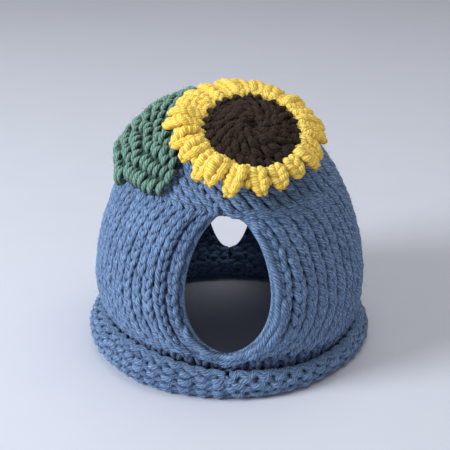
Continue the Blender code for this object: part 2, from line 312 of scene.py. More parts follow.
# %% [markdown]
# ## Yarn
# Wool for a tea cosy is spun from a few thin strands twisted together. A round tube that follows
# a path gives the strand its body, and a map of its own length and turn, kept on the tube, lets
# the material wind the thinner strands round it. Curves with a round bevel would be the easy way,
# but building the rings directly keeps one side of the tube facing out of the cloth, squashes the
# strand a little where it is pressed on, and fits every piece in its own texture square.

# %% An object from points and faces
TABLE_Z = 0.04


def mesh_object(name, points, corners, starts, maps, depth=None):
    """An object from points in mm, its faces' corners, where each face starts, and its UV maps."""
    mesh = bpy.data.meshes.new(name)
    mesh.vertices.add(len(points))
    mesh.vertices.foreach_set("co", np.asarray(points * MM, np.float32).ravel())
    mesh.loops.add(len(corners))
    mesh.loops.foreach_set("vertex_index", np.asarray(corners, np.int32))
    mesh.polygons.add(len(starts))
    mesh.polygons.foreach_set("loop_start", np.asarray(starts, np.int32))
    mesh.polygons.foreach_set("use_smooth", np.ones(len(starts), bool))
    for map_name, values in maps.items():
        layer = mesh.uv_layers.new(name=map_name)
        layer.uv.foreach_set("vector", np.asarray(values, np.float32).ravel())
    # how deep each point lies in the cloth, kept so the wool's material can paint shade by it
    if depth is not None:
        painted_shade_depth = mesh.attributes.new("Depth", "FLOAT", "POINT")
        painted_shade_depth.data.foreach_set("value", np.asarray(depth, np.float32))
    mesh.update(calc_edges=True)
    made = bpy.data.objects.new(name, mesh)
    bpy.context.scene.collection.objects.link(made)
    return made


print("yarn that would go through the table stops at", TABLE_Z, "mm")

# %% Rings round a path
SIDES = 8
SQUASH = 0.92
RING_TURN = 2.0 * math.pi * np.arange(SIDES) / SIDES


def rings_round(path, outward, radius):
    """Rings of points round a path, each with its first point facing out of the cloth."""
    ahead = np.gradient(path, axis=0)
    ahead /= np.maximum(np.linalg.norm(ahead, axis=1, keepdims=True), TINY)
    up = outward - ahead * np.sum(outward * ahead, 1, keepdims=True)
    up /= np.maximum(np.linalg.norm(up, axis=1, keepdims=True), TINY)
    side = np.cross(ahead, up)
    round_up = (np.cos(RING_TURN) * SQUASH)[None, :, None] * up[:, None, :]
    round_side = (np.sin(RING_TURN) / SQUASH)[None, :, None] * side[:, None, :]
    return path[:, None, :] + (round_up + round_side) * radius[:, None, None]


def length_along(path):
    """The length of a path up to each of its points."""
    steps = np.linalg.norm(np.diff(path, axis=0), axis=1)
    return np.concatenate([[0.0], np.cumsum(steps)])


circle = np.stack([np.cos(RING_TURN), np.sin(RING_TURN), 0.0 * RING_TURN], -1)
print("a ring has", SIDES, "points, and its path round them is", round(length_along(circle)[-1], 2))

# %% Faces between the rings
AROUND = np.arange(SIDES)


def strand_faces(counts):
    """For strands of so many rings: each face band's first ring, the faces, and the end caps."""
    starts = np.concatenate([[0], np.cumsum(counts)])[:-1]
    first = np.concatenate([start + np.arange(n - 1) for start, n in zip(starts, counts)])
    quads = np.empty((len(first), SIDES, 4), int)
    quads[..., 0] = first[:, None] * SIDES + AROUND
    quads[..., 1] = first[:, None] * SIDES + (AROUND + 1) % SIDES
    quads[..., 2] = quads[..., 1] + SIDES
    quads[..., 3] = quads[..., 0] + SIDES
    ends = []
    for start, n in zip(starts, counts):
        ends += [start * SIDES + AROUND[::-1], (start + n - 1) * SIDES + AROUND]
    return first, quads, ends


_, between, ends = strand_faces([2])
print("two rings make", between.shape[1], "faces and", len(ends), "caps")

# %% [markdown]
# ### Two maps on every strand
# One map holds the length along the strand in millimetres and the turn round it, so a material
# can draw a twist of a real pitch. The other lays the strand out in a square, cut into strips
# stacked one above the next, so that the same look can be painted into one picture later.

# %% Texture maps of a strand
STRIP = {"start": 0.2, "margin": 0.06, "width": 0.88}


def strand_maps(first, length, strips, per_strip):
    """Length and turn at every face corner, and its place in a square of stacked strips."""
    length_map = np.empty((len(first), SIDES, 4, 2))
    length_map[..., 0] = length[first][:, None, None]
    length_map[..., 2:, 0] = length[first + 1][:, None, None]
    length_map[..., (0, 3), 1] = (AROUND / SIDES)[None, :, None]
    length_map[..., (1, 2), 1] = ((AROUND + 1) / SIDES)[None, :, None]
    strip, place = first // per_strip, first % per_strip
    square_map = np.empty((len(first), SIDES, 4, 2))
    begin, end = place + STRIP["start"], place + (STRIP["start"] + 1.0)
    square_map[..., (0, 1), 0] = (begin / (per_strip + 1))[:, None, None]
    square_map[..., (2, 3), 0] = (end / (per_strip + 1))[:, None, None]
    lane = strip[:, None, None] + STRIP["margin"] + STRIP["width"] * length_map[..., 1]
    square_map[..., 1] = lane / (strips + STRIP["start"])
    return length_map.reshape(-1, 2), square_map.reshape(-1, 2)


print("a strand fills", round(STRIP["width"] * 100), "% of the width of its strip")

# %% Yarn from its paths
SPOT_MAP = 0.002


def yarn(name, strands, table=False):
    """One piece of yarn from strands of (path, outward, radius, height over the cloth for painted
    shade).
    """
    counts, rings, along, depth = [], [], [], []
    for path, outward, radius, height in strands:
        radius = np.broadcast_to(np.asarray(radius, float), (len(path),))
        height = np.broadcast_to(np.asarray(height, float), (len(path),))
        counts.append(len(path))
        rings.append(rings_round(path, outward, radius))
        along.append(length_along(path))
        # how far each ring point lies from the middle of the cloth; the closer, the more shade the
        # material paints on it
        depth.append(np.abs(height[:, None] + radius[:, None] * np.cos(RING_TURN)))
    points = np.concatenate(rings).reshape(-1, 3)
    if table:
        points[:, 2] = np.maximum(points[:, 2], TABLE_Z)
    total = sum(length[-1] for length in along)
    girth = 2.0 * math.pi * float(np.mean(strands[0][2]))
    strips = max(1, round(math.sqrt(total / girth)))
    first, quads, ends = strand_faces(counts)
    maps = strand_maps(first, np.concatenate(along), strips, math.ceil(sum(counts) / strips))
    corners = np.concatenate([quads.ravel()] + ends)
    caps = quads.size + np.arange(len(ends)) * SIDES
    starts = np.concatenate([np.arange(quads.size // 4) * 4, caps])
    spot = np.zeros((len(ends) * SIDES, 2))
    layers = {
        "Yarn": np.concatenate([maps[0], spot]),
        "OFBake": np.concatenate([maps[1], spot + SPOT_MAP]),
    }
    made = mesh_object(name, points, corners, starts, layers, np.concatenate(depth).ravel())
    triangles = quads.size // 2 + len(ends) * (SIDES - 2)
    print(f"{name}: {total / 1000:.1f} m of yarn, {triangles} triangles")
    return made


# %% [markdown]
# ## Stocking stitch
# In stocking stitch every row is one wavy strand. Each wave is a loop: its foot starts behind the
# cloth, its two legs come to the front and lean apart, and its head goes behind the next row's
# legs. From outside only the legs show, as columns of small Vs, and from inside only the heads and
# feet, as rows of bumps. Near the crown some wales merge, as they do where two stitches are
# knitted together. Each panel is four wedges that narrow to the crown, and the wales merge where
# a wedge ends, so each row first finds where its stitches part.

# %% Where the stitches of a row part
WEDGES = 4


def wale_edges(cloth, wales, row, narrowest):
    """Where the stitches of a row part, as shares of the way across the panel."""
    line = cloth["points"][min(int(row * ROW_STEPS), len(cloth["points"]) - 1)]
    width = np.linalg.norm(np.diff(line, axis=0), axis=1).sum()
    left = wales / WEDGES * min(1.0, width / (wales * narrowest))
    count = max(1, int(left + 0.5))
    edges = [np.arange(count) / left for _ in range(WEDGES)]
    parts = [(k + np.minimum(edge, 1.0)) / WEDGES for k, edge in enumerate(edges)]
    return np.concatenate(parts + [[1.0]])


# %% Stitches beside an edge
EDGE_INSET = {"open": 0.010, "seam": 0.0015}
OPEN_FROM = 0.05


def inset_edges(cloth, edges, row):
    """The same stitches, pulled in where the panel's edge is left open rather than sewn."""
    open_rows, front_open, back_open = cloth["open"]
    insets = [
        EDGE_INSET["open" if np.interp(row, open_rows, there) > OPEN_FROM else "seam"]
        for there in (front_open, back_open)
    ]
    return insets[0] + (1.0 - insets[0] - insets[1]) * edges


print("open edges are pulled in by", EDGE_INSET["open"] * 100, "% of the panel")

# %% [markdown]
# ### One row of loops
# A loop is three waves of one angle: across, up and out of the cloth. The wale stands out as a
# soft ridge, and on the hem, which rolls outwards and shows the back of the knitting, the ridge
# is turned over so the heads stand out there. The stitch beside the spout opening is drawn tight,
# which leaves a deep ditch next to it, and over the opening's top the wales are loose and stand up
# like ropes. Every loop is a little taller, deeper or shifted than the next, from a seeded chance,
# because hand knitting is never even, and each wale wanders slowly from side to side as it climbs.

# %% The shape of a loop
STITCH = {"lean": 0.20, "close": 0.045, "reach": 0.85, "depth": 0.75, "samples": 14}
ROW_MIDDLE = 0.9
HEAD_LIFT = 0.3
HEM_BLEND = 2.0  # rows over which the dome turns into the hem
WAVE = 2.0 * math.pi * np.arange(STITCH["samples"]) / STITCH["samples"]
print("a loop is drawn with", STITCH["samples"], "points")

# %% How far the wales stand out
LOOSE = {"ridge": 1.9, "over": 1.0, "rows": 4.5, "wales": 4.0}


def ridge_of(cloth, row, ridge, count):
    """How far the ridge of each wale stands out of the cloth in a row, in mm."""
    on_hem = float(smooth((cloth["hem_rows"] + 0.5 - row) / HEM_BLEND))
    stand = ridge["dome"] + (ridge["hem"] - ridge["dome"]) * on_hem
    if cloth["side"] > 0:
        open_rows, front_open, _ = cloth["open"]
        top = float(np.max(np.where(front_open > OPEN_FROM, open_rows, 0.0)))
        over = math.exp(-(((row - top - LOOSE["over"]) / LOOSE["rows"]) ** 2))
        from_edge = (np.arange(count)[:, None] + 0.5) / LOOSE["wales"]
        stand = stand + LOOSE["ridge"] * over * np.exp(-(from_edge**2))
    return stand


print("over the opening the first wales stand out by up to", LOOSE["ridge"], "mm more")

# %% The waves of one row
UNEVEN = {"across": 0.06, "tall": 0.06, "deep": 0.22, "sit": 0.06, "wander": 0.11, "a_row": 0.42}
RIDGE_FOOT = 0.6
DITCH = {"depth": 2.6, "reach": 0.30, "shade": -0.9, "open_from": 0.2}


def row_waves(cloth, edges, row, ridge, phase, chance):
    """A row's loops: across, up, out of the cloth, and the height by which shade is painted on
    them.
    """
    count = len(edges) - 1
    wide = edges[1] - edges[0]
    edges[1:-1] += chance.normal(0.0, UNEVEN["across"], count - 1) * wide
    wide = edges[1] - edges[0]
    edges[1:-1] += UNEVEN["wander"] * np.sin(row * UNEVEN["a_row"] + phase[1:count]) * wide
    tall = 1.0 + chance.normal(0.0, UNEVEN["tall"], (count, 1))
    deep = 1.0 + chance.normal(0.0, UNEVEN["deep"], (count, 1))
    sit = chance.normal(0.0, UNEVEN["sit"], (count, 1))
    along = WAVE / (2.0 * math.pi)
    along = along + STITCH["lean"] * np.sin(2 * WAVE) + STITCH["close"] * np.sin(WAVE)
    x = edges[:-1, None] + np.diff(edges)[:, None] * along
    y = row + ROW_MIDDLE + sit * (1.0 - np.cos(WAVE)) / 2 - STITCH["reach"] * tall * np.cos(WAVE)
    z = -STITCH["depth"] * deep * np.cos(2.0 * WAVE) + HEAD_LIFT * np.cos(WAVE)
    z = z + ridge_of(cloth, row, ridge, count) * (np.sin(math.pi * along) ** 2 - RIDGE_FOOT)
    openness = np.interp(row + ROW_MIDDLE, *cloth["open"][:2])
    beside = openness > DITCH["open_from"] and cloth["side"] < 0
    off = np.arange(count)[:, None] + along - 1.0
    ditch = beside * np.exp(-((off / DITCH["reach"]) ** 2))
    # painted shade: in the ditch the yarn is painted as if it lay at DITCH's shade height
    dark = z * (1.0 - ditch) + DITCH["shade"] * ditch
    z = z - DITCH["depth"] * ditch
    return [part.ravel() for part in np.broadcast_arrays(x, y, z, dark)]


print("the ditch beside the spout opening is", DITCH["depth"], "mm deep")

# %% [markdown]
# ### A whole panel
# At the end of each row the strand climbs to the next and comes back. The yarn looks thicker on
# the wide stitches low down and on the hem than where it is pulled tight over the shoulder, and
# thicker on the panel with fewer wales. The fold between dome and hem sinks, with painted shade.

# %% How thick the yarn looks
YARN = {"dome": 1.26, "stretch": 0.14, "crown": 0.10, "hem": 1.42, "uneven": 0.05, "every": 9}
TIGHT = {"from": 9.0, "rows": 12.0}
# thicker on the dome by 240 / wales - 8.9, and on the hem by 30 / (wales + 5)
FEWER_WALES = {"dome": 240.0, "dome_less": 8.9, "hem": 30.0, "hem_more": 5.0}


def yarn_width(cloth, wales, up, chance):
    """The yarn's radius at each point: by its stitch's width, by its height, and uneven."""
    knots = np.arange(0, len(up) + YARN["every"], YARN["every"])
    uneven = np.interp(np.arange(len(up)), knots, chance.normal(0.0, 1.0, len(knots)))
    fewer = FEWER_WALES["dome"] / wales - FEWER_WALES["dome_less"]
    radius = YARN["dome"] * (1.0 + YARN["stretch"] * fewer)
    tight = smooth((up - cloth["hem_rows"] - TIGHT["from"]) / TIGHT["rows"])
    radius = radius * (1.0 - YARN["crown"] * tight)
    on_hem = smooth((cloth["hem_rows"] + 1.0 - up) / HEM_BLEND)
    fewer = FEWER_WALES["hem"] / (wales + FEWER_WALES["hem_more"])
    radius = radius + (YARN["hem"] * fewer - radius) * on_hem
    return radius * (1.0 + YARN["uneven"] * uneven)


print("the yarn is about", round(2 * YARN["dome"], 1), "mm thick")

# %% One strand, back and forth
TURN_BACK = {"samples": 7, "wide": 0.003, "out": 0.6}
# dark and shade paint shade into the fold over the hem; sink lowers the yarn there
CREASE = {"above": 0.7, "reach": 1.7, "dark": 0.92, "shade": -1.0, "sink": 0.7}


def knit_rows(cloth, size, rows, phase, chance):
    """One strand back and forth over some rows of a panel: its path, outward, radius, and the
    height by which shade is painted on it.
    """
    wales = size["wales"]
    parts = []
    bend = np.linspace(0.0, math.pi, TURN_BACK["samples"])[1:-1]
    for row in rows:
        edges = wale_edges(cloth, wales, row + ROW_MIDDLE, size["narrowest"])
        edges = inset_edges(cloth, edges, row + ROW_MIDDLE)
        waves = row_waves(cloth, edges, row, size["ridge"], phase, chance)
        way = -1.0 if row % 2 else 1.0
        parts.append([wave[:: int(way)] for wave in waves])
        outer = edges[0] if row % 2 else edges[-1]
        rise = row + ROW_MIDDLE - STITCH["reach"] + (1.0 - np.cos(bend)) / 2
        turn_out = -STITCH["depth"] + TURN_BACK["out"] * np.sin(bend)
        turn_wide = outer + way * TURN_BACK["wide"] * np.sin(bend)
        parts.append([turn_wide, rise, turn_out, turn_out])
    across, up, lift, shade = (np.concatenate(column) for column in zip(*parts))
    # painted shade in the fold between dome and hem
    fold = (up - cloth["hem_rows"] - CREASE["above"]) / CREASE["reach"]
    crease = CREASE["dark"] * np.exp(-(fold**2))
    shade = shade * (1.0 - crease) + CREASE["shade"] * crease
    path, outward = read_map(cloth, across, up, lift - CREASE["sink"] * crease)
    return path, outward, yarn_width(cloth, wales, up, chance), shade


print("the crease over the hem reaches", CREASE["reach"], "rows")

# %% [markdown]
# ### The two halves of the cosy
# The left panel has more wales and a deeper rolled hem than the right one, so each has its own
# counts. A panel is cut into a lower and an upper strand at one row, to keep its pieces light. How
# its wales wander is drawn once for both, or they would jump sideways at that row.

# %% Both panels, row by row
PANELS = {
    "left": {"side": -1, "wales": 27, "hem_rows": 11, "dome_rows": 32, "narrowest": 4.6},
    "right": {"side": 1, "wales": 24, "hem_rows": 7, "dome_rows": 32, "narrowest": 5.1},
}
PANELS["left"]["ridge"] = {"dome": 0.8, "hem": -0.36}
PANELS["right"]["ridge"] = {"dome": 0.5, "hem": 0.12}
SPLIT_ROW = 20
chance = np.random.default_rng(11)
cloths, pieces = {}, {}
for name, size in PANELS.items():
    cloth = panel_map(size["side"], size["wales"], size["hem_rows"], size["dome_rows"])
    cloths[name] = cloth
    last = cloth["rows"] - 1
    phase = chance.uniform(0.0, 2.0 * math.pi, size["wales"] + 2)
    for half, rows in (("lower", range(0, SPLIT_ROW)), ("upper", range(SPLIT_ROW, last))):
        strand = knit_rows(cloth, size, rows, phase, chance)
        pieces[f"knit_{name}_{half}"] = yarn(f"knit_{name}_{half}", [strand], table=True)

# %% [markdown]
# ## Edges and their cords
# The yarn that sews the panels up runs on round the foot of the spout opening and up its right
# side, where it lies on the curled edge like a thick cord. The other open edges end in the chain
# that comes of slipping the first stitch of every row, and the hem in its cast-on edge. A cord
# that has to follow the outline of an opening is laid on that outline, and one that has to follow
# the cloth is laid on the cloth's own map, so neither can drift off what carries it.

# %% Cords on the outline of the spout opening


def rim_path(opening, low, high, offset, lift):
    """A path round an opening, between two angles from its lowest point, so far outside it."""
    turn = np.radians(np.arange(low, high, 1.0))
    end = np.where(np.cos(turn) > 0, opening["bottom"], opening["top"])
    tall = np.abs(end - opening["widest"])
    z = opening["widest"] - np.cos(turn) * (tall + offset)
    wide = np.radians(opening["half_angle"]) * DOME_RADIUS + offset
    azimuth = opening["azimuth"] + np.degrees(wide * np.sin(turn) / DOME_RADIUS)
    outward = round_axis(1.0, azimuth, 0.0 * z)
    path = round_axis(dome_radius(azimuth, z) + lift, azimuth, z)
    return path, outward


RIM_CORDS = (
    # from and to in degrees, how far outside the outline, how far above the cloth
    (-60, 150, 0.8, 0.4),
    (16, 92, 3.2, 1.0),
    (-34, 30, 3.2, 0.8),
)
RIM = {"taper": 9.0, "slack": 0.35, "sway": 0.21, "sink": 2.4, "thin": 0.6, "more": 0.8}
# how far the cords are taken to lie over the cloth, used only for their painted shade
CORD_SHADE_HEIGHT = 1.0
strands = []
for low, high, offset, lift in RIM_CORDS:
    path, outward = rim_path(SPOUT, low, high, offset, lift)
    place = np.arange(len(path))
    to_end = smooth(np.minimum(place, place[::-1]) / RIM["taper"])
    slack = RIM["slack"] * np.sin(place * RIM["sway"]) - RIM["sink"] * (1.0 - to_end)
    radius = RIM["thin"] + RIM["more"] * to_end
    strands.append((path + outward * slack[:, None], outward, radius, CORD_SHADE_HEIGHT))
longest = length_along(strands[0][0])[-1]
print(len(strands), "cords on the outline, the longest", round(longest), "mm")

# %% Cords on the cloth's edges, and the cast-on edge
EDGE_CORDS = (
    # panels, 0 for the front opening or 1 for the back one, how far in from the edge, how far out
    ("left right", 0.0, 0.002, -0.6),
    ("right", 0.0, 0.013, 0.3),
    ("left right", 1.0, 0.006, 0.2),
    ("left right", 1.0, 0.019, 0.9),
)
EDGE_CORD = {"past": 1.5, "step": 0.12, "radius": 1.25}
CAST_ON = {
    "rows": (0.1, 0.6),
    "points": 420,
    "sway": 0.25,
    "waves": 26.0,
    "lift": -0.9,
    "radius": 1.15,
}
for name, cloth in cloths.items():
    map_rows, front_open, back_open = cloth["open"]
    for panels, edge, inset, lift in EDGE_CORDS:
        if name not in panels.split():
            continue
        gap = map_rows[(back_open if edge else front_open) > 0]
        past = EDGE_CORD["past"]
        rows = np.arange(gap[0] - past, gap[-1] + past, EDGE_CORD["step"])
        across = np.full(len(rows), abs(edge - inset))
        path, outward = read_map(cloth, across, rows, np.full(len(rows), lift))
        strands.append((path, outward, EDGE_CORD["radius"], CORD_SHADE_HEIGHT))
    across = np.linspace(0.004, 0.996, CAST_ON["points"])
    for row in CAST_ON["rows"]:
        rows = row + CAST_ON["sway"] * np.sin(across * 2 * math.pi * CAST_ON["waves"] + row)
        path, outward = read_map(cloth, across, rows, np.full(len(across), CAST_ON["lift"]))
        strands.append((path, outward, CAST_ON["radius"], CAST_ON["lift"]))
pieces["rim_cord"] = yarn("rim_cord", strands, table=True)

# %% [markdown]
# ## The seams
# The panels are sewn edge to edge with mattress stitch, over and under the two openings. The
# sewing yarn climbs from one edge to the other and pulls them close, so it is laid as short
# slanted strands across the join, one for each row.

# %% Where the sewing yarn goes in
SEAM = {"inset": 0.013, "first": 0.3, "short": 3.0, "closed": 0.02, "climb": 0.75}


def seam_spot(name, edge, row):
    """A point just inside a panel's edge so many rows over the hem, and the way out there."""
    cloth = cloths[name]
    across, row = np.array([abs(edge - SEAM["inset"])]), np.array([cloth["hem_rows"] + row])
    spot, outward = read_map(cloth, across, row, np.zeros(1))
    return spot[0], outward[0]


print("the front seam starts at", seam_spot("left", 0.0, SEAM["first"])[0].round(1).tolist(), "mm")

# %% The sewing yarn
# its height is used only for the sewing yarn's painted shade
SEAM_LOOP = {"high": 1.5, "round": 0.7, "sink": 0.5, "uneven": 0.12, "radius": 1.15, "height": 1.2}
strands = []
step = np.linspace(0.0, 1.0, 9)
left_rows, front_open, back_open = cloths["left"]["open"]
for edge, openness in ((0.0, front_open), (1.0, back_open)):
    for row in np.arange(SEAM["first"], PANELS["left"]["dome_rows"] - SEAM["short"]):
        if np.interp(PANELS["left"]["hem_rows"] + row, left_rows, openness) > SEAM["closed"]:
            continue
        begin, out_left = seam_spot("left", edge, row)
        end, out_right = seam_spot("right", edge, row + SEAM["climb"])
        outward = (out_left + out_right) / np.linalg.norm(out_left + out_right)
        lift = SEAM_LOOP["high"] * np.sin(math.pi * step) ** SEAM_LOOP["round"]
        lift = lift - SEAM_LOOP["sink"] + chance.normal(0.0, SEAM_LOOP["uneven"])
        path = begin + (end - begin) * step[:, None] + outward * lift[:, None]
        outward = np.broadcast_to(outward, path.shape)
        strands.append((path, outward, SEAM_LOOP["radius"], SEAM_LOOP["height"]))
pieces["seam_yarn"] = yarn("seam_yarn", strands)

# %% [markdown]
# ## The leaf
# The leaf is knitted too, in garter stitch, whose bumps stand in rows on both sides. It is sewn on
# near the flower and rises off the dome towards its back edge. The same waves as the panels' would
# make it, but the legs stay hidden behind the bumps, so only the bumps are laid: short arches of
# yarn, one behind the next, in columns that run from the tip towards the flower.

# %% The leaf's place on the dome
LEAF_AZIMUTH = -165.0
LEAF_OUTLINE = np.array(
    [
        # distance along the axis, width on the front side, width on the back side
        (9.0, -9.0, 12.0),
        (12.0, -4.0, 16.0),
        (16.0, 1.0, 21.0),
        (20.0, 9.0, 24.5),
        (24.0, 20.0, 26.5),
        (28.0, 27.0, 27.0),
        (32.0, 28.0, 27.0),
        (36.0, 25.5, 24.5),
        (40.0, 19.0, 19.0),
        (43.0, 11.0, 13.0),
        (45.0, 3.0, 5.0),
    ]
)
turn = math.radians(LEAF_AZIMUTH)
LEAF_ALONG = np.array([math.cos(turn), math.sin(turn)])
LEAF_FRONT = np.array([-LEAF_ALONG[1], LEAF_ALONG[0]])
print("the leaf is", LEAF_OUTLINE[-1, 0] - LEAF_OUTLINE[0, 0], "mm long")

# %% Points over the dome's shoulder


def above_dome(x, y, height):
    """Points over the cloth's middle, square to it, and the outward directions there."""
    out = np.minimum(np.hypot(x, y), DOME_RADIUS - 1.0)
    rise = (1.0 - (out / DOME_RADIUS) ** SHOULDER_TURN) ** (1.0 / SHOULDER_RISE)
    steep = SHOULDER_TURN * out ** (SHOULDER_TURN - 1.0) / DOME_RADIUS**SHOULDER_TURN
    flat = SHOULDER_RISE * rise ** (SHOULDER_RISE - 1.0) / (DOME_TOP - WIDEST_Z)
    normal = np.stack([x / out * steep, y / out * steep, flat], -1)
    normal /= np.linalg.norm(normal, axis=-1, keepdims=True)
    low = np.stack([x, y, WIDEST_Z + (DOME_TOP - WIDEST_Z) * rise], -1)
    return low + normal * np.asarray(height)[..., None], normal


spot, _ = above_dome(*np.array([(-30.0,), (0.0,)]), 0.0)
print("30 mm left of the axis the cloth is", round(spot[0, 2], 1), "mm up")

# %% Points on the leaf
LEAF_SEAT = 3.9
LEAF_LIFT = {"most": 4.4, "front": 14.0, "back": -18.0, "root": 34.0, "tip": 49.0, "fall": 12.0}


def leaf_points(length, width, lift):
    """Points on the leaf, so far along it, across it and over its middle."""
    held = smooth(length / LEAF_LIFT["root"])
    held = held * smooth((LEAF_LIFT["tip"] - length) / LEAF_LIFT["fall"])
    fall = (LEAF_LIFT["front"] - width) / (LEAF_LIFT["front"] - LEAF_LIFT["back"])
    raised = LEAF_LIFT["most"] * smooth(fall) * held
    spot = length[..., None] * LEAF_ALONG + width[..., None] * LEAF_FRONT
    return above_dome(spot[..., 0], spot[..., 1], LEAF_SEAT + raised + lift)


def leaf_reach(width):
    """The lengths between which the leaf lies at this width from its axis."""
    lengths = np.linspace(LEAF_OUTLINE[0, 0], LEAF_OUTLINE[-1, 0] + 1.0, 400)
    front = np.interp(lengths, LEAF_OUTLINE[:, 0], LEAF_OUTLINE[:, 1])
    back = np.interp(lengths, LEAF_OUTLINE[:, 0], LEAF_OUTLINE[:, 2])
    inside = lengths[(width <= front) & (width >= -back)]
    return (inside[0], inside[-1]) if len(inside) else (0.0, 0.0)


near, far = leaf_reach(0.0)
print(f"along its axis the leaf lies {near:.0f} to {far:.0f} mm from the dome's middle")

# %% The leaf's bumps
LEAF_STITCH = {"pitch": 4.3, "row": 2.95, "first": 26.0, "last": -27.0, "yarn": 1.32}
BUMP = {"long": 0.74, "high": 2.9, "sink": 1.9, "slant": 1.1}
BUMP_UNEVEN = {"slant": 0.5, "along": 0.35, "across": 0.22, "lift": 0.25, "yarn": 0.06}
rng = np.random.default_rng(5)
strands = []
part = np.linspace(0.0, 1.0, 13)
for place in np.arange(LEAF_STITCH["first"], LEAF_STITCH["last"], -LEAF_STITCH["row"]):
    near, far = leaf_reach(place)
    count = max(1, int(round((far - near) / LEAF_STITCH["pitch"])))
    pitch = (far - near) / count
    for wale in range(count):
        middle = far - pitch * (wale + 0.5) + rng.normal(0.0, BUMP_UNEVEN["along"])
        length = middle + pitch * BUMP["long"] * (part - 0.5)
        width = place + (part - 0.5) * rng.normal(BUMP["slant"], BUMP_UNEVEN["slant"])
        width = width + rng.normal(0.0, BUMP_UNEVEN["across"])
        lift = BUMP["high"] * np.sin(math.pi * part) ** 0.5 - BUMP["sink"]
        lift = lift + rng.normal(0.0, BUMP_UNEVEN["lift"])
        path, outward = leaf_points(length, width, lift)
        radius = LEAF_STITCH["yarn"] * rng.normal(1.0, BUMP_UNEVEN["yarn"])
        strands.append((path, outward, radius, lift))
pieces["knit_leaf"] = yarn("knit_leaf", strands)

# %% [markdown]
# ## The flower
# The sunflower is crocheted in the round as a shallow cap and sewn on leaning forward. Its petals
# and its centre share that cap, so one helper turns a reach from the middle, a turn round it and
# a height over it into a point. The brown centre is sewn on a little forward of the middle, so the
# petals behind it show more of their roots. Where a petal lies over the leaf, the leaf holds it up.

# %% The flower's cap
FLOWER_APEX = np.array((9.0, -27.2, 108.9))
FLOWER_LEAN = np.array((0.120, -0.440, 0.890))
FLOWER_CURVE = 80.0
axis = FLOWER_LEAN / np.linalg.norm(FLOWER_LEAN)
right = np.array((1.0, 0.0, 0.0)) - axis * axis[0]
right /= np.linalg.norm(right)
ahead = np.cross(axis, right)


def cap_points(reach, turn, height):
    """Points over the flower's cap, so far from its middle, round it and above it."""
    reach, turn, height = np.broadcast_arrays(reach, turn, height)
    out = np.cos(turn)[..., None] * right + np.sin(turn)[..., None] * ahead
    bend = (reach / FLOWER_CURVE)[..., None]
    normal = axis * np.cos(bend) + out * np.sin(bend)
    return FLOWER_APEX + normal * (FLOWER_CURVE + height[..., None]) - axis * FLOWER_CURVE, normal


print("the cap leans", round(math.degrees(math.acos(axis[2]))), "degrees from upright")

# %% The centre's place, the petals' roots, and the leaf under them
CENTRE_FORWARD = 2.6
PETAL_ROOT = 18.2
PETAL_RIDE = {
    "most": 4.5,
    "azimuth": 188.0,
    "spread": 78.0,
    "from": 19.9,
    "reach": 13.4,
    "steep": 1.6,
}


def centre_points(reach, turn, height):
    """Points on the brown centre, which is sewn on a little forward of the cap's middle."""
    x, y = reach * np.cos(turn), reach * np.sin(turn) - CENTRE_FORWARD
    return cap_points(np.hypot(x, y), np.arctan2(y, x), height)


def petal_root(turn):
    """The reach at which a petal starts, under the edge of the brown centre."""
    return PETAL_ROOT - CENTRE_FORWARD * np.sin(turn)


def petal_ride(turn, reach):
    """How far the petals are held up by the leaf under them."""
    off = (np.degrees(turn) - PETAL_RIDE["azimuth"] + 180.0) % 360.0 - 180.0
    over = np.clip((reach - PETAL_RIDE["from"]) / PETAL_RIDE["reach"], 0.0, 1.0)
    near = smooth(1.0 - np.abs(off) / PETAL_RIDE["spread"])
    return PETAL_RIDE["most"] * near * smooth(over * PETAL_RIDE["steep"])


print("petals start", petal_root(math.pi / 2), "mm up from the middle,", petal_root(0.0), "beside")

# %% [markdown]
# ### Petals
# A crocheted petal is a chain out to its tip and back, and each half of the chain is two strands
# that cross at every stitch. Here each petal is such a pair going out and one coming back, close
# together as one fat ridge, and a lower pair fills the valley to the next petal. The tips are set
# one by one, because no two petals of a crocheted flower come out alike.

# %% The tips of the petals
PETAL_TIPS = (
    # turn round the flower in degrees, reach of the tip in mm
    (-178, 35.0), (-161, 33.7), (-147, 33.5), (-133, 35.2), (-118, 34.2), (-102, 35.3),
    (-86, 32.6), (-68, 31.3), (-51, 30.0), (-33, 32.0), (-15, 31.4), (1, 32.6),
    (14, 32.6), (27, 30.6), (40, 31.6), (53, 33.0), (68, 33.2), (82, 35.0),
    (98, 35.0), (113, 35.0), (128, 35.0), (142, 34.9), (156, 33.4), (170, 33.6),
)
print(len(PETAL_TIPS), "petals")

# %% Two strands that wind round each other
# height is used only for the petal strands' painted shade
PAIR = {"apart": 0.8, "sway": 0.5, "sways": 0.9, "differ": 7.0, "height": 0.95}


def twisted_pair(reach, turn, height, thick, pitch=5.4, way=1.0):
    """Two strands wound round each other along a path over the cap."""
    path, normal = cap_points(reach, turn, height + petal_ride(turn, reach))
    along = np.gradient(path, axis=0)
    along /= np.linalg.norm(along, axis=1, keepdims=True)
    side = np.cross(along, normal)
    gaps = length_along(path)
    sway = PAIR["sway"] * np.sin(gaps * PAIR["sways"] + height[0] * PAIR["differ"])
    made = []
    for start in (0.0, math.pi):
        spin = way * gaps / pitch * 2 * math.pi + start + sway
        around = np.cos(spin)[:, None] * normal + np.sin(spin)[:, None] * side
        # the height by which each strand's shade is painted
        depth = PAIR["apart"] * np.cos(spin) + PAIR["height"]
        made.append((path + PAIR["apart"] * around, normal, thick, depth))
    return made


print("the two strands lie", 2 * PAIR["apart"], "mm apart")

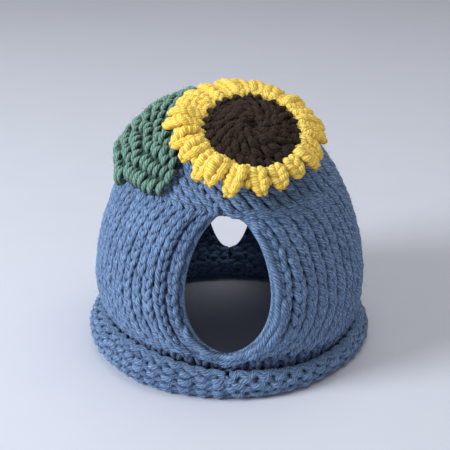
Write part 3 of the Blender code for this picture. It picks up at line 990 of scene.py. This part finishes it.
# %% Petals
PETAL = {
    # share of the way to the tip, and the value there in mm
    "apart": ((0.0, 0.25, 0.55, 0.85, 1.0), (0.8, 1.6, 1.75, 1.15, 0.2)),
    "height": ((0.0, 0.18, 0.5, 0.8, 1.0), (-0.6, 1.6, 1.2, 0.4, -0.7)),
    "thick": ((0.0, 0.2, 0.6, 0.85, 1.0), (1.2, 1.5, 1.45, 1.2, 0.7)),
}
TIP_IN = 0.6
PETAL_UNEVEN = {
    "turn": (-1.2, 1.2),
    "lift": (-0.7, 0.7),
    "roll": (-1.1, 1.1),
    "swirl": (-0.07, 0.09),
}
VALLEY = {"root": 0.4, "in": 3.7, "pitch": 5.0, "uneven": (-0.5, 0.5), "swirl": 0.02}
rng = np.random.default_rng(3)
strands = []
for index, (tip_turn, tip_reach) in enumerate(PETAL_TIPS):
    off, lift, roll, swirl = (rng.uniform(*limits) for limits in PETAL_UNEVEN.values())
    middle = math.radians(tip_turn + off)
    part = np.linspace(0.0, 1.0, 34)
    for leg in (-1.0, 1.0):
        root = petal_root(middle)
        reach = root + (tip_reach - TIP_IN - root) * part
        apart, height, thick = (np.interp(part, *profile) for profile in PETAL.values())
        height = lift + height + leg * roll * np.sin(math.pi * part)
        turn = middle + leg * apart / reach + swirl * part
        strands += twisted_pair(reach, turn, height, thick, way=leg)
    next_turn, next_reach = PETAL_TIPS[(index + 1) % len(PETAL_TIPS)]
    valley = math.radians(tip_turn + ((next_turn - tip_turn) % 360) / 2)
    part = np.linspace(0.0, 1.0, 22)
    root = petal_root(valley) + VALLEY["root"]
    reach = root + (min(tip_reach, next_reach) - VALLEY["in"] - root) * part
    height = -0.5 - 0.9 * part + 0.7 * np.sin(2.5 * math.pi * part)
    height = height + rng.uniform(*VALLEY["uneven"])
    turn, thick = valley + VALLEY["swirl"] * part, 1.6 - 0.25 * part
    strands += twisted_pair(reach, turn, height, thick, pitch=VALLEY["pitch"])
pieces["crochet_petals"] = yarn("crochet_petals", strands)

# %% [markdown]
# ### The brown centre
# The centre is worked outwards in four rounds of stitches, each a pair of legs side by side that
# slant the way the hook went, with a ring of yarn where one round is hooked into the last. Brown
# points reach out over the petals, where the last round is sewn through them.

# %% Rounds of stitches
ROUNDS = (
    # reach from the middle, stitches, height over the cap, length of a stitch
    (16.4, 25, 0.0, 4.5),
    (12.4, 19, 0.9, 4.3),
    (8.5, 13, 1.5, 4.1),
    (4.8, 8, 1.5, 3.8),
)
SLANT = 2.4
POST = {"apart": 0.55, "open": 0.9, "high": 1.1, "yarn": 1.25}
POST_UNEVEN = {"side": 0.3, "rise": 0.3, "out": 0.5}
HOOKED = {"in": 0.42, "over": 0.5, "wave": 0.3, "yarn": 1.2}
rng = np.random.default_rng(9)
strands = []
for ring, (reach, count, height, length) in enumerate(ROUNDS):
    for post in range(count):
        part = np.linspace(-0.5, 0.5, 16)
        middle = 2 * math.pi * (post + 0.5) / count + ring
        for leg in (-1.0, 1.0):
            turn = middle + leg * (POST["apart"] + POST["open"] * part) / reach
            turn = turn + SLANT * part / reach + rng.normal(0.0, POST_UNEVEN["side"]) / reach
            rise = POST["high"] * np.cos(math.pi * part) + rng.normal(0, POST_UNEVEN["rise"])
            out = reach + length * part + rng.normal(0, POST_UNEVEN["out"])
            path, normal = centre_points(out, turn, height + rise)
            strands.append((path, normal, POST["yarn"], rise))
    part = np.linspace(0.0, 1.0, count * 8 + 1)
    wave = HOOKED["over"] + HOOKED["wave"] * np.sin(part * count * 2 * math.pi)
    inner = reach - length * HOOKED["in"]
    path, normal = centre_points(inner, 2 * math.pi * part, height + wave)
    strands.append((path, normal, HOOKED["yarn"], HOOKED["over"]))
print(len(strands), "strands in", len(ROUNDS), "rounds")

# %% Points over the petals, and the middle ring
POINT = {"count": 24, "from": 16.6, "long": 5.2, "uneven": 0.5, "turn": 0.2, "wander": 0.03}
MIDDLE_RING = {"reach": 2.0, "height": 0.6, "yarn": 1.3}
part = np.linspace(0.0, 1.0, 12)
for tip in range(POINT["count"]):
    turn = 2 * math.pi * (tip + POINT["turn"]) / POINT["count"] + rng.normal(0.0, POINT["wander"])
    out = POINT["from"] + (POINT["long"] + rng.normal(0, POINT["uneven"])) * part
    path, normal = centre_points(out, turn, 1.9 - 0.7 * part**2)
    strands.append((path, normal, 1.5 - 1.15 * part, 1.0))
turn = np.linspace(0, 2 * math.pi, 40)
path, normal = centre_points(MIDDLE_RING["reach"], turn, MIDDLE_RING["height"])
strands.append((path, normal, MIDDLE_RING["yarn"], 0.0))
pieces["crochet_centre"] = yarn("crochet_centre", strands)

# %% [markdown]
# ## Cloth behind the yarn
# Knitting is never quite closed: between the strands one sees the felted fuzz of the strands
# behind. Each knitted or crocheted piece therefore has a thin sheet in its middle for that fuzz,
# coloured far darker than its wool as painted shade, and orange as painted shade behind the yellow
# petals. It is made as a grid of points with a Solidify modifier, which is enough because only
# slits of it show.

# %% A thin sheet from a grid of points


def sheet_of(name, points, thick, turned=False):
    """A thin closed sheet from a grid of points in mm."""
    down, wide = points.shape[:2]
    index = np.arange(down * wide).reshape(down, wide)
    quads = np.stack([index[:-1, :-1], index[:-1, 1:], index[1:, 1:], index[1:, :-1]], -1)
    quads = quads[..., ::-1] if turned else quads
    starts = np.arange(quads.size // 4) * 4
    sheet = mesh_object(name, points.reshape(-1, 3), quads.ravel(), starts, {})
    solid = sheet.modifiers.new("thickness", "SOLIDIFY")
    solid.thickness = thick * MM
    solid.offset = 0.0
    print(name, "has", len(starts), "faces and is", thick, "mm thick")
    return sheet


# %% Behind the leaf
BACKING = 0.7
LEAF_BACK = {"front": 25.0, "back": -25.5, "inset": 1.4, "under": -0.9}
share = np.linspace(0.0, 1.0, 24)
length, width = [], []
for place in np.linspace(LEAF_BACK["front"], LEAF_BACK["back"], 34):
    near, far = leaf_reach(place)
    length.append(near + LEAF_BACK["inset"] + (far - near - 2 * LEAF_BACK["inset"]) * share)
    width.append(np.full(share.shape, place))
sheets = {}
spots, _ = leaf_points(np.array(length), np.array(width), LEAF_BACK["under"])
sheets["leaf_backing"] = sheet_of("leaf_backing", spots, BACKING)

# %% Behind the petals
PETAL_BACK = {"rim_in": 7.0, "root_in": 1.2, "under": -2.0}
turns, shares = np.linspace(-math.pi, math.pi, 145), np.linspace(0.0, 1.0, 9)
turn, share = np.meshgrid(turns, shares, indexing="ij")
tip_turns, tip_reaches = np.array(PETAL_TIPS).T
rim = np.interp(np.degrees(turn), tip_turns, tip_reaches, period=360.0) - PETAL_BACK["rim_in"]
root = petal_root(turn) - PETAL_BACK["root_in"]
reach = root + (rim - root) * share
spots, _ = cap_points(reach, turn, PETAL_BACK["under"] + petal_ride(turn, reach))
sheets["petal_backing"] = sheet_of("petal_backing", spots, BACKING)

# %% Behind the centre
CENTRE_BACK = {"hole": 0.6, "reach": 17.6, "under": -0.4}
turns = np.linspace(0.0, 2 * math.pi, 73)
reaches = np.linspace(CENTRE_BACK["hole"], CENTRE_BACK["reach"], 9)
turn, reach = np.meshgrid(turns, reaches, indexing="ij")
spots, _ = centre_points(reach, turn, CENTRE_BACK["under"])
sheets["centre_backing"] = sheet_of("centre_backing", spots, BACKING)

# %% Inside the panels
CORE = {"lift": -0.4, "hem": 1.1, "thick": 0.6, "columns": 70}
CORE_INSET = {"seam": 0.002, "open": 0.028, "steep": 3.0}
for name, cloth in cloths.items():
    rows = np.arange(0.0, cloth["rows"] - 0.02, 0.5)
    open_rows, front_open, back_open = cloth["open"]
    front, back = [
        CORE_INSET["seam"]
        + CORE_INSET["open"] * smooth(np.interp(rows, open_rows, there) * CORE_INSET["steep"])
        for there in (front_open, back_open)
    ]
    share = np.linspace(0.0, 1.0, CORE["columns"])
    across = front[:, None] + (1.0 - front - back)[:, None] * share
    lift = CORE["lift"] + CORE["hem"] * smooth((cloth["hem_rows"] + 1.0 - rows) / HEM_BLEND)
    row_grid, lift_grid, _ = np.broadcast_arrays(rows[:, None], lift[:, None], across)
    spots, _ = read_map(cloth, across, row_grid, lift_grid)
    sheets[f"cloth_{name}"] = sheet_of(f"cloth_{name}", spots, CORE["thick"], cloth["side"] < 0)

# %% [markdown]
# ## Building shaders
# Every material below is a small graph of nodes. A few helpers keep it readable: one adds a node
# and fills or links its sockets, three give a sum, a mix of colours or a stretched value, and one
# starts a node group with named sockets. What more than one material needs, such as the twist of
# the plies, is such a group, built once.

# %% Helpers for nodes


def join(tree, value, socket):
    """Set a socket to a number or colour, or link it to another node's output."""
    if isinstance(value, bpy.types.NodeSocket):
        tree.links.new(value, socket)
    elif socket.type == "RGBA":
        socket.default_value = (*value, 1.0)
    else:
        socket.default_value = value


def node(tree, kind, settings, sockets):
    """A node with its settings, and its sockets set or linked by name or number."""
    made = tree.nodes.new(kind)
    for name, value in settings.items():
        setattr(made, name, value)
    for key, value in sockets.items():
        join(tree, value, made.inputs[key])
    return made


print("helpers for a node:", join.__name__, node.__name__)

# %% Helpers for sums, mixes and groups


def calc(tree, operation, *values):
    """The result of a Math node."""
    made = node(tree, "ShaderNodeMath", {"operation": operation}, dict(enumerate(values)))
    return made.outputs[0]


def blend_colour(tree, factor, first, second):
    """The result of mixing two colours."""
    sockets = {"Factor": factor, "A": first, "B": second}
    return node(tree, "ShaderNodeMix", {"data_type": "RGBA"}, sockets).outputs["Result"]


def spread(tree, value, low, high, to_low=0.0, to_high=1.0):
    """A value stretched from one range to another."""
    sockets = {"Value": value, "From Min": low, "From Max": high}
    sockets.update({"To Min": to_low, "To Max": to_high})
    return node(tree, "ShaderNodeMapRange", {}, sockets).outputs[0]


def new_group(name, enters, leaves):
    """An empty shader group with named sockets: its tree, what enters it and what leaves it."""
    tree = bpy.data.node_groups.new(name, "ShaderNodeTree")
    for side, sockets in (("INPUT", enters), ("OUTPUT", leaves)):
        for socket, kind in sockets.items():
            tree.interface.new_socket(socket, in_out=side, socket_type=f"NodeSocket{kind}")
    print("shader group", name, "gives", ", ".join(leaves))
    enter, leave = tree.nodes.new("NodeGroupInput"), tree.nodes.new("NodeGroupOutput")
    return tree, enter.outputs, leave.inputs


helpers = (calc, blend_colour, spread, new_group)
print("helpers for a graph:", *(helper.__name__ for helper in helpers))

# %% [markdown]
# ### The twist of the plies
# The yarn's own map says how far along and how far round it each point is. Adding the two makes
# lines that wind round the strand, one for each ply. Two noises, drawn out along the same lines,
# raise soft streaks of the fibres, which also get a painted highlight, and break up the painted
# shade in the line between two plies, which would otherwise look like rope rather than wool.

# %% Group: ply twist
PLY = {"groove": 1.8, "round": 0.6, "hairs": 0.8, "least_groove": 0.05, "streak": 0.56}
tree, enter, leave = new_group(
    "Ply twist",
    {"Yarn": "Vector", "Plies": "Float", "Twist Length": "Float", "Fibre": "Float"},
    {"Height": "Float", "Groove Shade": "Float", "Highlight Streak": "Float"},
)
parts = node(tree, "ShaderNodeSeparateXYZ", {}, {0: enter["Yarn"]}).outputs
turned = calc(tree, "ADD", parts["Y"], calc(tree, "DIVIDE", parts["X"], enter["Twist Length"]))
phase = calc(tree, "MULTIPLY", turned, enter["Plies"])
hump = calc(tree, "ABSOLUTE", calc(tree, "SINE", calc(tree, "MULTIPLY", phase, math.pi)))
# painted shade in the line between two plies
groove = calc(tree, "POWER", calc(tree, "SUBTRACT", 1.0, hump), PLY["groove"])


def drawn_noise(tree, across, along, detail, roughness):
    """A noise drawn out along the plies."""
    first, second = calc(tree, "MULTIPLY", phase, across), calc(tree, "MULTIPLY", parts["X"], along)
    place = node(tree, "ShaderNodeCombineXYZ", {}, {0: first, 1: second}).outputs[0]
    sockets = {"Vector": place, "Scale": 1.0, "Detail": detail, "Roughness": roughness}
    return node(tree, "ShaderNodeTexNoise", {}, sockets).outputs["Fac"]


streak, hairs = drawn_noise(tree, 1.9, 0.33, 3.0, 0.65), drawn_noise(tree, 7.0, 0.8, 2.0, 0.5)
both = calc(tree, "ADD", streak, calc(tree, "MULTIPLY", hairs, PLY["hairs"]))
fine = calc(tree, "MULTIPLY", both, enter["Fibre"])
join(tree, calc(tree, "ADD", calc(tree, "POWER", hump, PLY["round"]), fine), leave["Height"])
broken = calc(tree, "ADD", hairs, PLY["least_groove"])
join(tree, calc(tree, "MULTIPLY", groove, broken), leave["Groove Shade"])
# the fibre streaks, which the wool shade paints as highlights
join(tree, calc(tree, "MULTIPLY", both, PLY["streak"]), leave["Highlight Streak"])
PLY_TWIST = tree

# %% [markdown]
# ### The colours of dyed wool, with painted shade and highlights
# Dyed wool is never one colour, and light and shade are painted into it here as well. Fibre streaks
# get a painted highlight, the lines between plies get painted shade, and the yarn deep in the cloth
# gets the most painted shade of all. How deep a point lies was kept on each strand when it was
# made, so that the painted shade in the slits between stitches holds from every side. A slow
# patchiness over the whole piece stands for the uneven dye.

# %% Group: wool shade
PAINTED_SHADE_BY_DEPTH = {"darkest": 0.3, "clear": 1.9, "most": 0.9}
PATCHES = {"scale": 160.0, "least": 0.8, "most": 1.2}
tree, enter, leave = new_group(
    "Wool shade",
    {"Painted Shade": "Color", "Body": "Color", "Light": "Color", "Groove Shade": "Float", "Highlight Streak": "Float"},
    {"Colour": "Color"},
)
# painted highlight along the fibre streaks
tone = blend_colour(tree, spread(tree, enter["Highlight Streak"], 0.38, 0.62), enter["Body"], enter["Light"])
# painted shade in the lines between plies
tone = blend_colour(tree, enter["Groove Shade"], tone, enter["Painted Shade"])
# painted shade where the yarn lies deep in the cloth
painted_shade_depth = node(tree, "ShaderNodeAttribute", {"attribute_name": "Depth"}, {}).outputs["Fac"]
deep = spread(tree, painted_shade_depth, PAINTED_SHADE_BY_DEPTH["darkest"], PAINTED_SHADE_BY_DEPTH["clear"], PAINTED_SHADE_BY_DEPTH["most"], 0.0)
tone = blend_colour(tree, deep, tone, enter["Painted Shade"])
place = node(tree, "ShaderNodeTexCoord", {}, {}).outputs["Object"]
sockets = {"Vector": place, "Scale": PATCHES["scale"], "Detail": 2.0}
patch = node(tree, "ShaderNodeTexNoise", {}, sockets).outputs["Fac"]
bright = spread(tree, patch, 0.0, 1.0, PATCHES["least"], PATCHES["most"])
dyed = node(tree, "ShaderNodeHueSaturation", {}, {"Value": bright, "Color": tone}).outputs[0]
join(tree, dyed, leave["Colour"])
WOOL_SHADE = tree

# %% Material: wool
WOOL = {"Roughness": 0.85, "Sheen Roughness": 0.45, "Specular IOR Level": 0.3}
PLY_BUMP = {"Strength": 0.9, "Distance": 0.0003}


def wool(name, deep, body, light, plies, twist, sheen):
    """Spun and dyed wool, for a piece made of yarn."""
    made = bpy.data.materials.new(name)
    made.use_nodes = True
    tree, shader = made.node_tree, made.node_tree.nodes["Principled BSDF"]
    own_map = node(tree, "ShaderNodeUVMap", {"uv_map": "Yarn"}, {}).outputs[0]
    sockets = {"Yarn": own_map, "Plies": plies, "Twist Length": twist, "Fibre": 0.9}
    ply = node(tree, "ShaderNodeGroup", {"node_tree": PLY_TWIST}, sockets).outputs
    sockets = {"Painted Shade": deep, "Body": body, "Light": light}
    sockets.update({"Groove Shade": ply["Groove Shade"], "Highlight Streak": ply["Highlight Streak"]})
    shade = node(tree, "ShaderNodeGroup", {"node_tree": WOOL_SHADE}, sockets).outputs
    join(tree, shade["Colour"], shader.inputs["Base Color"])
    sockets = {**PLY_BUMP, "Height": ply["Height"]}
    join(tree, node(tree, "ShaderNodeBump", {}, sockets).outputs[0], shader.inputs["Normal"])
    for socket, value in {**WOOL, "Sheen Weight": sheen}.items():
        shader.inputs[socket].default_value = value
    print(f"{name}: {plies:.0f} plies, a full twist in {twist} mm")
    return made


print("wool is as rough as", WOOL["Roughness"])

# %% The four wools
DYES_WITH_PAINTED_LIGHT = {
    # the painted shade, body and painted highlight colours of each wool
    "blue": ((0.005, 0.014, 0.062), (0.037, 0.100, 0.245), (0.28, 0.435, 0.69)),
    "green": ((0.006, 0.026, 0.020), (0.068, 0.182, 0.140), (0.25, 0.44, 0.37)),
    "yellow": ((0.66, 0.30, 0.010), (0.94, 0.59, 0.03), (1.0, 0.88, 0.26)),
    "brown": ((0.002, 0.001, 0.001), (0.0075, 0.0034, 0.0018), (0.046, 0.026, 0.016)),
}
SPUN = {
    # plies, the length of a full twist in mm, and how much light its fuzz catches
    "blue": (6.0, 9.5, 0.10),
    "green": (5.0, 7.0, 0.12),
    "yellow": (6.0, 5.5, 0.12),
    "brown": (5.0, 7.0, 0.03),
}
WOOL_OF = {"knit_leaf": "green", "crochet_petals": "yellow", "crochet_centre": "brown"}
wools = {dye: wool(f"{dye}_wool", *DYES_WITH_PAINTED_LIGHT[dye], *SPUN[dye]) for dye in DYES_WITH_PAINTED_LIGHT}
for name, piece in pieces.items():
    piece.data.materials.append(wools[WOOL_OF.get(name, "blue")])

# %% [markdown]
# ### Felt
# The sheets behind the yarn, the loose fibres and the floor have no twist, only a fine grain and
# a slow mottle. One group serves them all, with a dark and a fair colour and the size of the
# grain. Seen close, the grain also lifts the surface a little.

# %% Group: felt
MOTTLE = 0.12
tree, enter, leave = new_group(
    "Felt",
    {"Dark": "Color", "Fair": "Color", "Grain": "Float"},
    {"Colour": "Color", "Height": "Float"},
)
place = node(tree, "ShaderNodeTexCoord", {}, {}).outputs["Object"]
sockets = {"Vector": place, "Scale": enter["Grain"], "Detail": 4.0}
fuzz = node(tree, "ShaderNodeTexNoise", {}, sockets).outputs["Fac"]
slow = calc(tree, "MULTIPLY", enter["Grain"], MOTTLE)
sockets = {"Vector": place, "Scale": slow, "Detail": 1.0}
mottle = node(tree, "ShaderNodeTexNoise", {}, sockets).outputs["Fac"]
mixed = calc(tree, "MULTIPLY", calc(tree, "ADD", fuzz, mottle), 0.5)
felt_colour = blend_colour(tree, spread(tree, mixed, 0.38, 0.62), enter["Dark"], enter["Fair"])
join(tree, felt_colour, leave["Colour"])
join(tree, fuzz, leave["Height"])
FELT = tree

# %% Material: felt
FELT_BUMP = 0.5
FELT_SPECULAR = 0.25


def felt(name, dark, fair, grain, roughness=0.95, lift=0.0002):
    """Matt fibres or a matt surface, with a dark and a fair colour and the grain's scale."""
    made = bpy.data.materials.new(name)
    made.use_nodes = True
    tree, shader = made.node_tree, made.node_tree.nodes["Principled BSDF"]
    sockets = {"Dark": dark, "Fair": fair, "Grain": grain}
    look = node(tree, "ShaderNodeGroup", {"node_tree": FELT}, sockets).outputs
    join(tree, look["Colour"], shader.inputs["Base Color"])
    sockets = {"Strength": FELT_BUMP, "Distance": lift, "Height": look["Height"]}
    join(tree, node(tree, "ShaderNodeBump", {}, sockets).outputs[0], shader.inputs["Normal"])
    shader.inputs["Roughness"].default_value = roughness
    shader.inputs["Specular IOR Level"].default_value = FELT_SPECULAR
    print(f"{name}: a grain of {1000 / grain:.1f} mm")
    return made


# %% Materials of the hidden sheets
# the sheets' colours are painted shade: far darker than their wool, and orange behind the yellow
PAINTED_SHADE_FELTS = {
    "cloth": felt("blue_felt_shade", (0.004, 0.009, 0.034), (0.010, 0.018, 0.062), 900.0),
    "leaf_backing": felt("green_felt_shade", (0.012, 0.042, 0.032), (0.030, 0.080, 0.060), 900.0),
    "petal_backing": felt("orange_felt_shade", (0.30, 0.12, 0.006), (0.50, 0.22, 0.014), 900.0),
    "centre_backing": felt("brown_felt_shade", (0.004, 0.002, 0.002), (0.009, 0.005, 0.004), 900.0),
}
for name, sheet in sheets.items():
    sheet.data.materials.append(PAINTED_SHADE_FELTS["cloth" if name.startswith("cloth") else name])
print("felt behind", ", ".join(sheets))

# %% [markdown]
# ## Fluff
# Loose fibres stand off every woollen strand and soften its outline against the light. Hair
# particles are the usual tool, but they can't be given to a mesh file, so each fibre here is a
# thin three-sided blade that bends as it leaves the yarn. They start only where the yarn faces
# out of the cosy, and never reach below the table.

# %% Paths of loose fibres
FLUFF_STEPS = np.linspace(0.0, 1.0, 5)
FLUFF_FROM = {"middle_z": 45.0, "faces_out": 0.35, "least_z": 3.0}
FIBRE = {"least_up": 0.15, "most_up": 0.9, "wander": 0.6, "bend": 0.8, "back": 0.35, "longest": 1.6}


def fluff_paths(piece, count, length, chance):
    """Short bent paths that start on a piece's outer side."""
    found = len(piece.data.vertices) * 3
    spots, normals = np.empty(found, np.float32), np.empty(found, np.float32)
    piece.data.vertices.foreach_get("co", spots)
    piece.data.vertices.foreach_get("normal", normals)
    spots, normals = spots.reshape(-1, 3) / MM, normals.reshape(-1, 3)
    pick = chance.integers(0, len(spots), count * 4)
    away = spots[pick] - np.array((0.0, 0.0, FLUFF_FROM["middle_z"]))
    away /= np.linalg.norm(away, axis=1, keepdims=True)
    facing_out = np.sum(normals[pick] * away, 1) > FLUFF_FROM["faces_out"]
    pick = pick[facing_out & (spots[pick][:, 2] > FLUFF_FROM["least_z"])][:count]
    spots, normals = spots[pick], normals[pick]
    wander = chance.normal(0.0, 1.0, (len(pick), 3))
    up = chance.uniform(FIBRE["least_up"], FIBRE["most_up"], (len(pick), 1))
    heading = normals * up + wander * FIBRE["wander"]
    heading /= np.linalg.norm(heading, axis=1, keepdims=True)
    bend = chance.normal(0.0, FIBRE["bend"], (len(pick), 3)) - normals * FIBRE["back"]
    size = np.minimum(chance.lognormal(-0.25, 0.45, len(pick)), FIBRE["longest"])
    size = length * size[:, None, None]
    along = FLUFF_STEPS[None, :, None]
    path = spots[:, None] + size * (heading[:, None] * along + bend[:, None] * 0.5 * along**2)
    ahead = heading[:, None] + bend[:, None] * along
    ahead /= np.linalg.norm(ahead, axis=2, keepdims=True)
    return path, ahead, wander


print("a loose fibre bends in", len(FLUFF_STEPS) - 1, "steps")

# %% Blades round those paths
BLADE = {"radius": 0.055, "taper": 0.75}


def fluff(name, piece, count, length, paint, chance):
    """Loose fibres on a piece of yarn, as one mesh of thin blades."""
    path, ahead, wander = fluff_paths(piece, count, length, chance)
    side = np.cross(ahead, wander[:, None] + 0.01)
    side /= np.linalg.norm(side, axis=2, keepdims=True)
    other = np.cross(ahead, side)
    turn = 2 * math.pi * np.arange(3)[:, None] / 3
    thin = (BLADE["radius"] * (1.0 - BLADE["taper"] * FLUFF_STEPS))[None, :, None, None]
    ring = np.cos(turn) * side[:, :, None] + np.sin(turn) * other[:, :, None]
    points = (path[:, :, None] + thin * ring).reshape(-1, 3)
    points[:, 2] = np.maximum(points[:, 2], TABLE_Z)
    rings = len(FLUFF_STEPS)
    base = np.arange(len(path))[:, None, None] * rings * 3 + np.arange(rings - 1)[:, None] * 3
    near, far = base + np.arange(3), base + (np.arange(3) + 1) % 3
    quads = np.stack([near, far, far + 3, near + 3], -1).ravel()
    made = mesh_object(name, points, quads, np.arange(quads.size // 4) * 4, {})
    made.data.materials.append(paint)
    print(name, "has", len(path), "fibres")
    return made


print("its blade is", 2 * BLADE["radius"], "mm across at the root")

# %% Fluff on every piece of yarn
# the fluff is painted much paler than its yarn's body: a painted highlight, as on lit loose fibres
FLUFF_FELTS = {
    "blue": felt("blue_fluff", (0.24, 0.35, 0.54), (0.36, 0.49, 0.70), 300.0),
    "green": felt("green_fluff", (0.20, 0.36, 0.28), (0.30, 0.48, 0.40), 300.0),
    "yellow": felt("yellow_fluff", (0.95, 0.68, 0.14), (1.0, 0.82, 0.26), 300.0),
    "brown": felt("brown_fluff", (0.080, 0.052, 0.040), (0.12, 0.080, 0.064), 300.0),
}
FLUFF = (
    # name, the yarn it stands on, fibres, their length in mm, colour
    ("fluff_left_lower", "knit_left_lower", 1700, 2.2, "blue"),
    ("fluff_left_upper", "knit_left_upper", 1700, 2.2, "blue"),
    ("fluff_right_lower", "knit_right_lower", 2000, 2.4, "blue"),
    ("fluff_right_upper", "knit_right_upper", 2000, 2.4, "blue"),
    ("fluff_leaf", "knit_leaf", 600, 1.8, "green"),
    ("fluff_petals", "crochet_petals", 700, 1.4, "yellow"),
    ("fluff_centre", "crochet_centre", 1400, 2.0, "brown"),
)
loose = {}
for seed, (name, owner, count, length, dye) in enumerate(FLUFF, start=1):
    seeded = np.random.default_rng(seed)
    loose[name] = fluff(name, pieces[owner], count, length, FLUFF_FELTS[dye], seeded)
    slot = f"{dye}_yarn"

# %% [markdown]
# ## What each piece stands for
# Every piece moves with the cosy's one body. The sheet inside a panel, with its yarn, cords and
# fluff, takes the place of that panel's solid, and the leaf, the petals and the centre take the
# place of theirs, so those solids are hidden. The flat area each trim's cloth was made to is
# printed.

# %% Riding and replaced solids
for piece in [*pieces.values(), *sheets.values(), *loose.values()]:
    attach(piece, "root")
OWN_SOLIDS = {
    "knit_leaf": ("leaf", "green_yarn"),
    "crochet_petals": ("flower_petals", "yellow_yarn"),
    "crochet_centre": ("flower_centre", "brown_yarn"),
}
for name, piece in pieces.items():
    solid, slot = OWN_SOLIDS.get(name, (None, "blue_yarn"))
    if solid:
        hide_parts(solid)
print(len(pieces) + len(sheets) + len(loose), "pieces ride on the body")

# %% The cloth of the panels
for name in PANELS:
    sheet = sheets[f"cloth_{name}"]
    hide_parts(f"panel_{name}")
    mine = [part for key, part in (*pieces.items(), *loose.items()) if f"_{name}_" in key]
    if name == "right":
        mine += [pieces["rim_cord"], pieces["seam_yarn"]]
    print(sheet.name, "carries", len(mine), "pieces")

# %% The cloth of the leaf and the flower
TRIM = (
    # sheet, the yarn and the fluff on it, slot, flat area in square metres, how it lies
    ("leaf_backing", "knit_leaf", "fluff_leaf", "green_yarn", 0.0020, "draped"),
    ("petal_backing", "crochet_petals", "fluff_petals", "yellow_yarn", 0.0014, "laid"),
    ("centre_backing", "crochet_centre", "fluff_centre", "brown_yarn", 0.0010, "laid"),
)
for name, owner, fibres, slot, area, held in TRIM:
    print(name, "is", round(area * 1e4, 1), "square centimetres of cloth")

# %% [markdown]
# ## The floor, the light and the camera
# A plain pale floor keeps the eye on the wool. A window on the left grazes the stitches so that
# every dip shows, a large soft light overhead brightens the flower, and a weak warm one from the
# right keeps the shaded side from going black.

# %% A pale floor
floor_mesh = bpy.data.meshes.new("floor")
floor_mesh.from_pydata([(-3, -3, 0), (3, -3, 0), (3, 3, 0), (-3, 3, 0)], [], [(0, 1, 2, 3)])
floor = bpy.data.objects.new("floor", floor_mesh)
bpy.context.scene.collection.objects.link(floor)
pale = felt("pale_floor", (0.593, 0.633, 0.733), (0.607, 0.647, 0.747), 40.0, 0.8, 0.0001)
floor.data.materials.append(pale)
print("the floor is", floor.dimensions.x, "m wide")

# %% Soft lights
LIGHTS = {
    # place in m, size in m, power in W, colour
    "window": ((-0.90, -0.36, 0.55), 0.5, 13.4, (0.95, 0.975, 1.0)),
    "ceiling": ((0.15, 0.05, 0.95), 0.9, 3.7, (1.0, 0.97, 0.93)),
    "fill": ((0.70, -0.80, 0.30), 0.8, 0.75, (1.0, 0.80, 0.58)),
}
AIM = Vector((0.0, 0.0, 0.06))
for name, (place, size, power, colour) in LIGHTS.items():
    data = bpy.data.lights.new(name, "AREA")
    data.shape, data.size, data.energy, data.color = "DISK", size, power, colour
    light = bpy.data.objects.new(name, data)
    light.location = place
    light.rotation_euler = (AIM - Vector(place)).to_track_quat("-Z", "Y").to_euler()
    bpy.context.scene.collection.objects.link(light)
    print(name, "is", round((AIM - Vector(place)).length, 2), "m away")

# %% The light that the room gives back
ROOM = {"Color": (0.91, 0.87, 0.85, 1.0), "Strength": 0.33}
world = bpy.data.worlds.new("room")
bpy.context.scene.world = world
world.use_nodes = True
for socket, value in ROOM.items():
    world.node_tree.nodes["Background"].inputs[socket].default_value = value
print("the room's own light has strength", ROOM["Strength"])

# %% The camera
CAMERA = {
    "tilt": math.radians(24.5),
    "away": 0.430,
    "aim_z": 0.0525,
    "lens": 76.96,
    "sensor": 36.0,
    "shift": -0.01,
}
camera = bpy.data.objects.new("camera", bpy.data.cameras.new("camera"))
bpy.context.scene.collection.objects.link(camera)
back, up = CAMERA["away"] * math.cos(CAMERA["tilt"]), CAMERA["away"] * math.sin(CAMERA["tilt"])
camera.location = (0.0, -back, CAMERA["aim_z"] + up)
camera.rotation_euler = (math.pi / 2 - CAMERA["tilt"], 0.0, 0.0)
camera.data.lens, camera.data.sensor_width = CAMERA["lens"], CAMERA["sensor"]
camera.data.shift_x = CAMERA["shift"]
bpy.context.scene.camera = camera
bpy.context.scene.view_settings.view_transform = "Standard"
print("the camera stands", round(camera.location.z, 3), "m up")
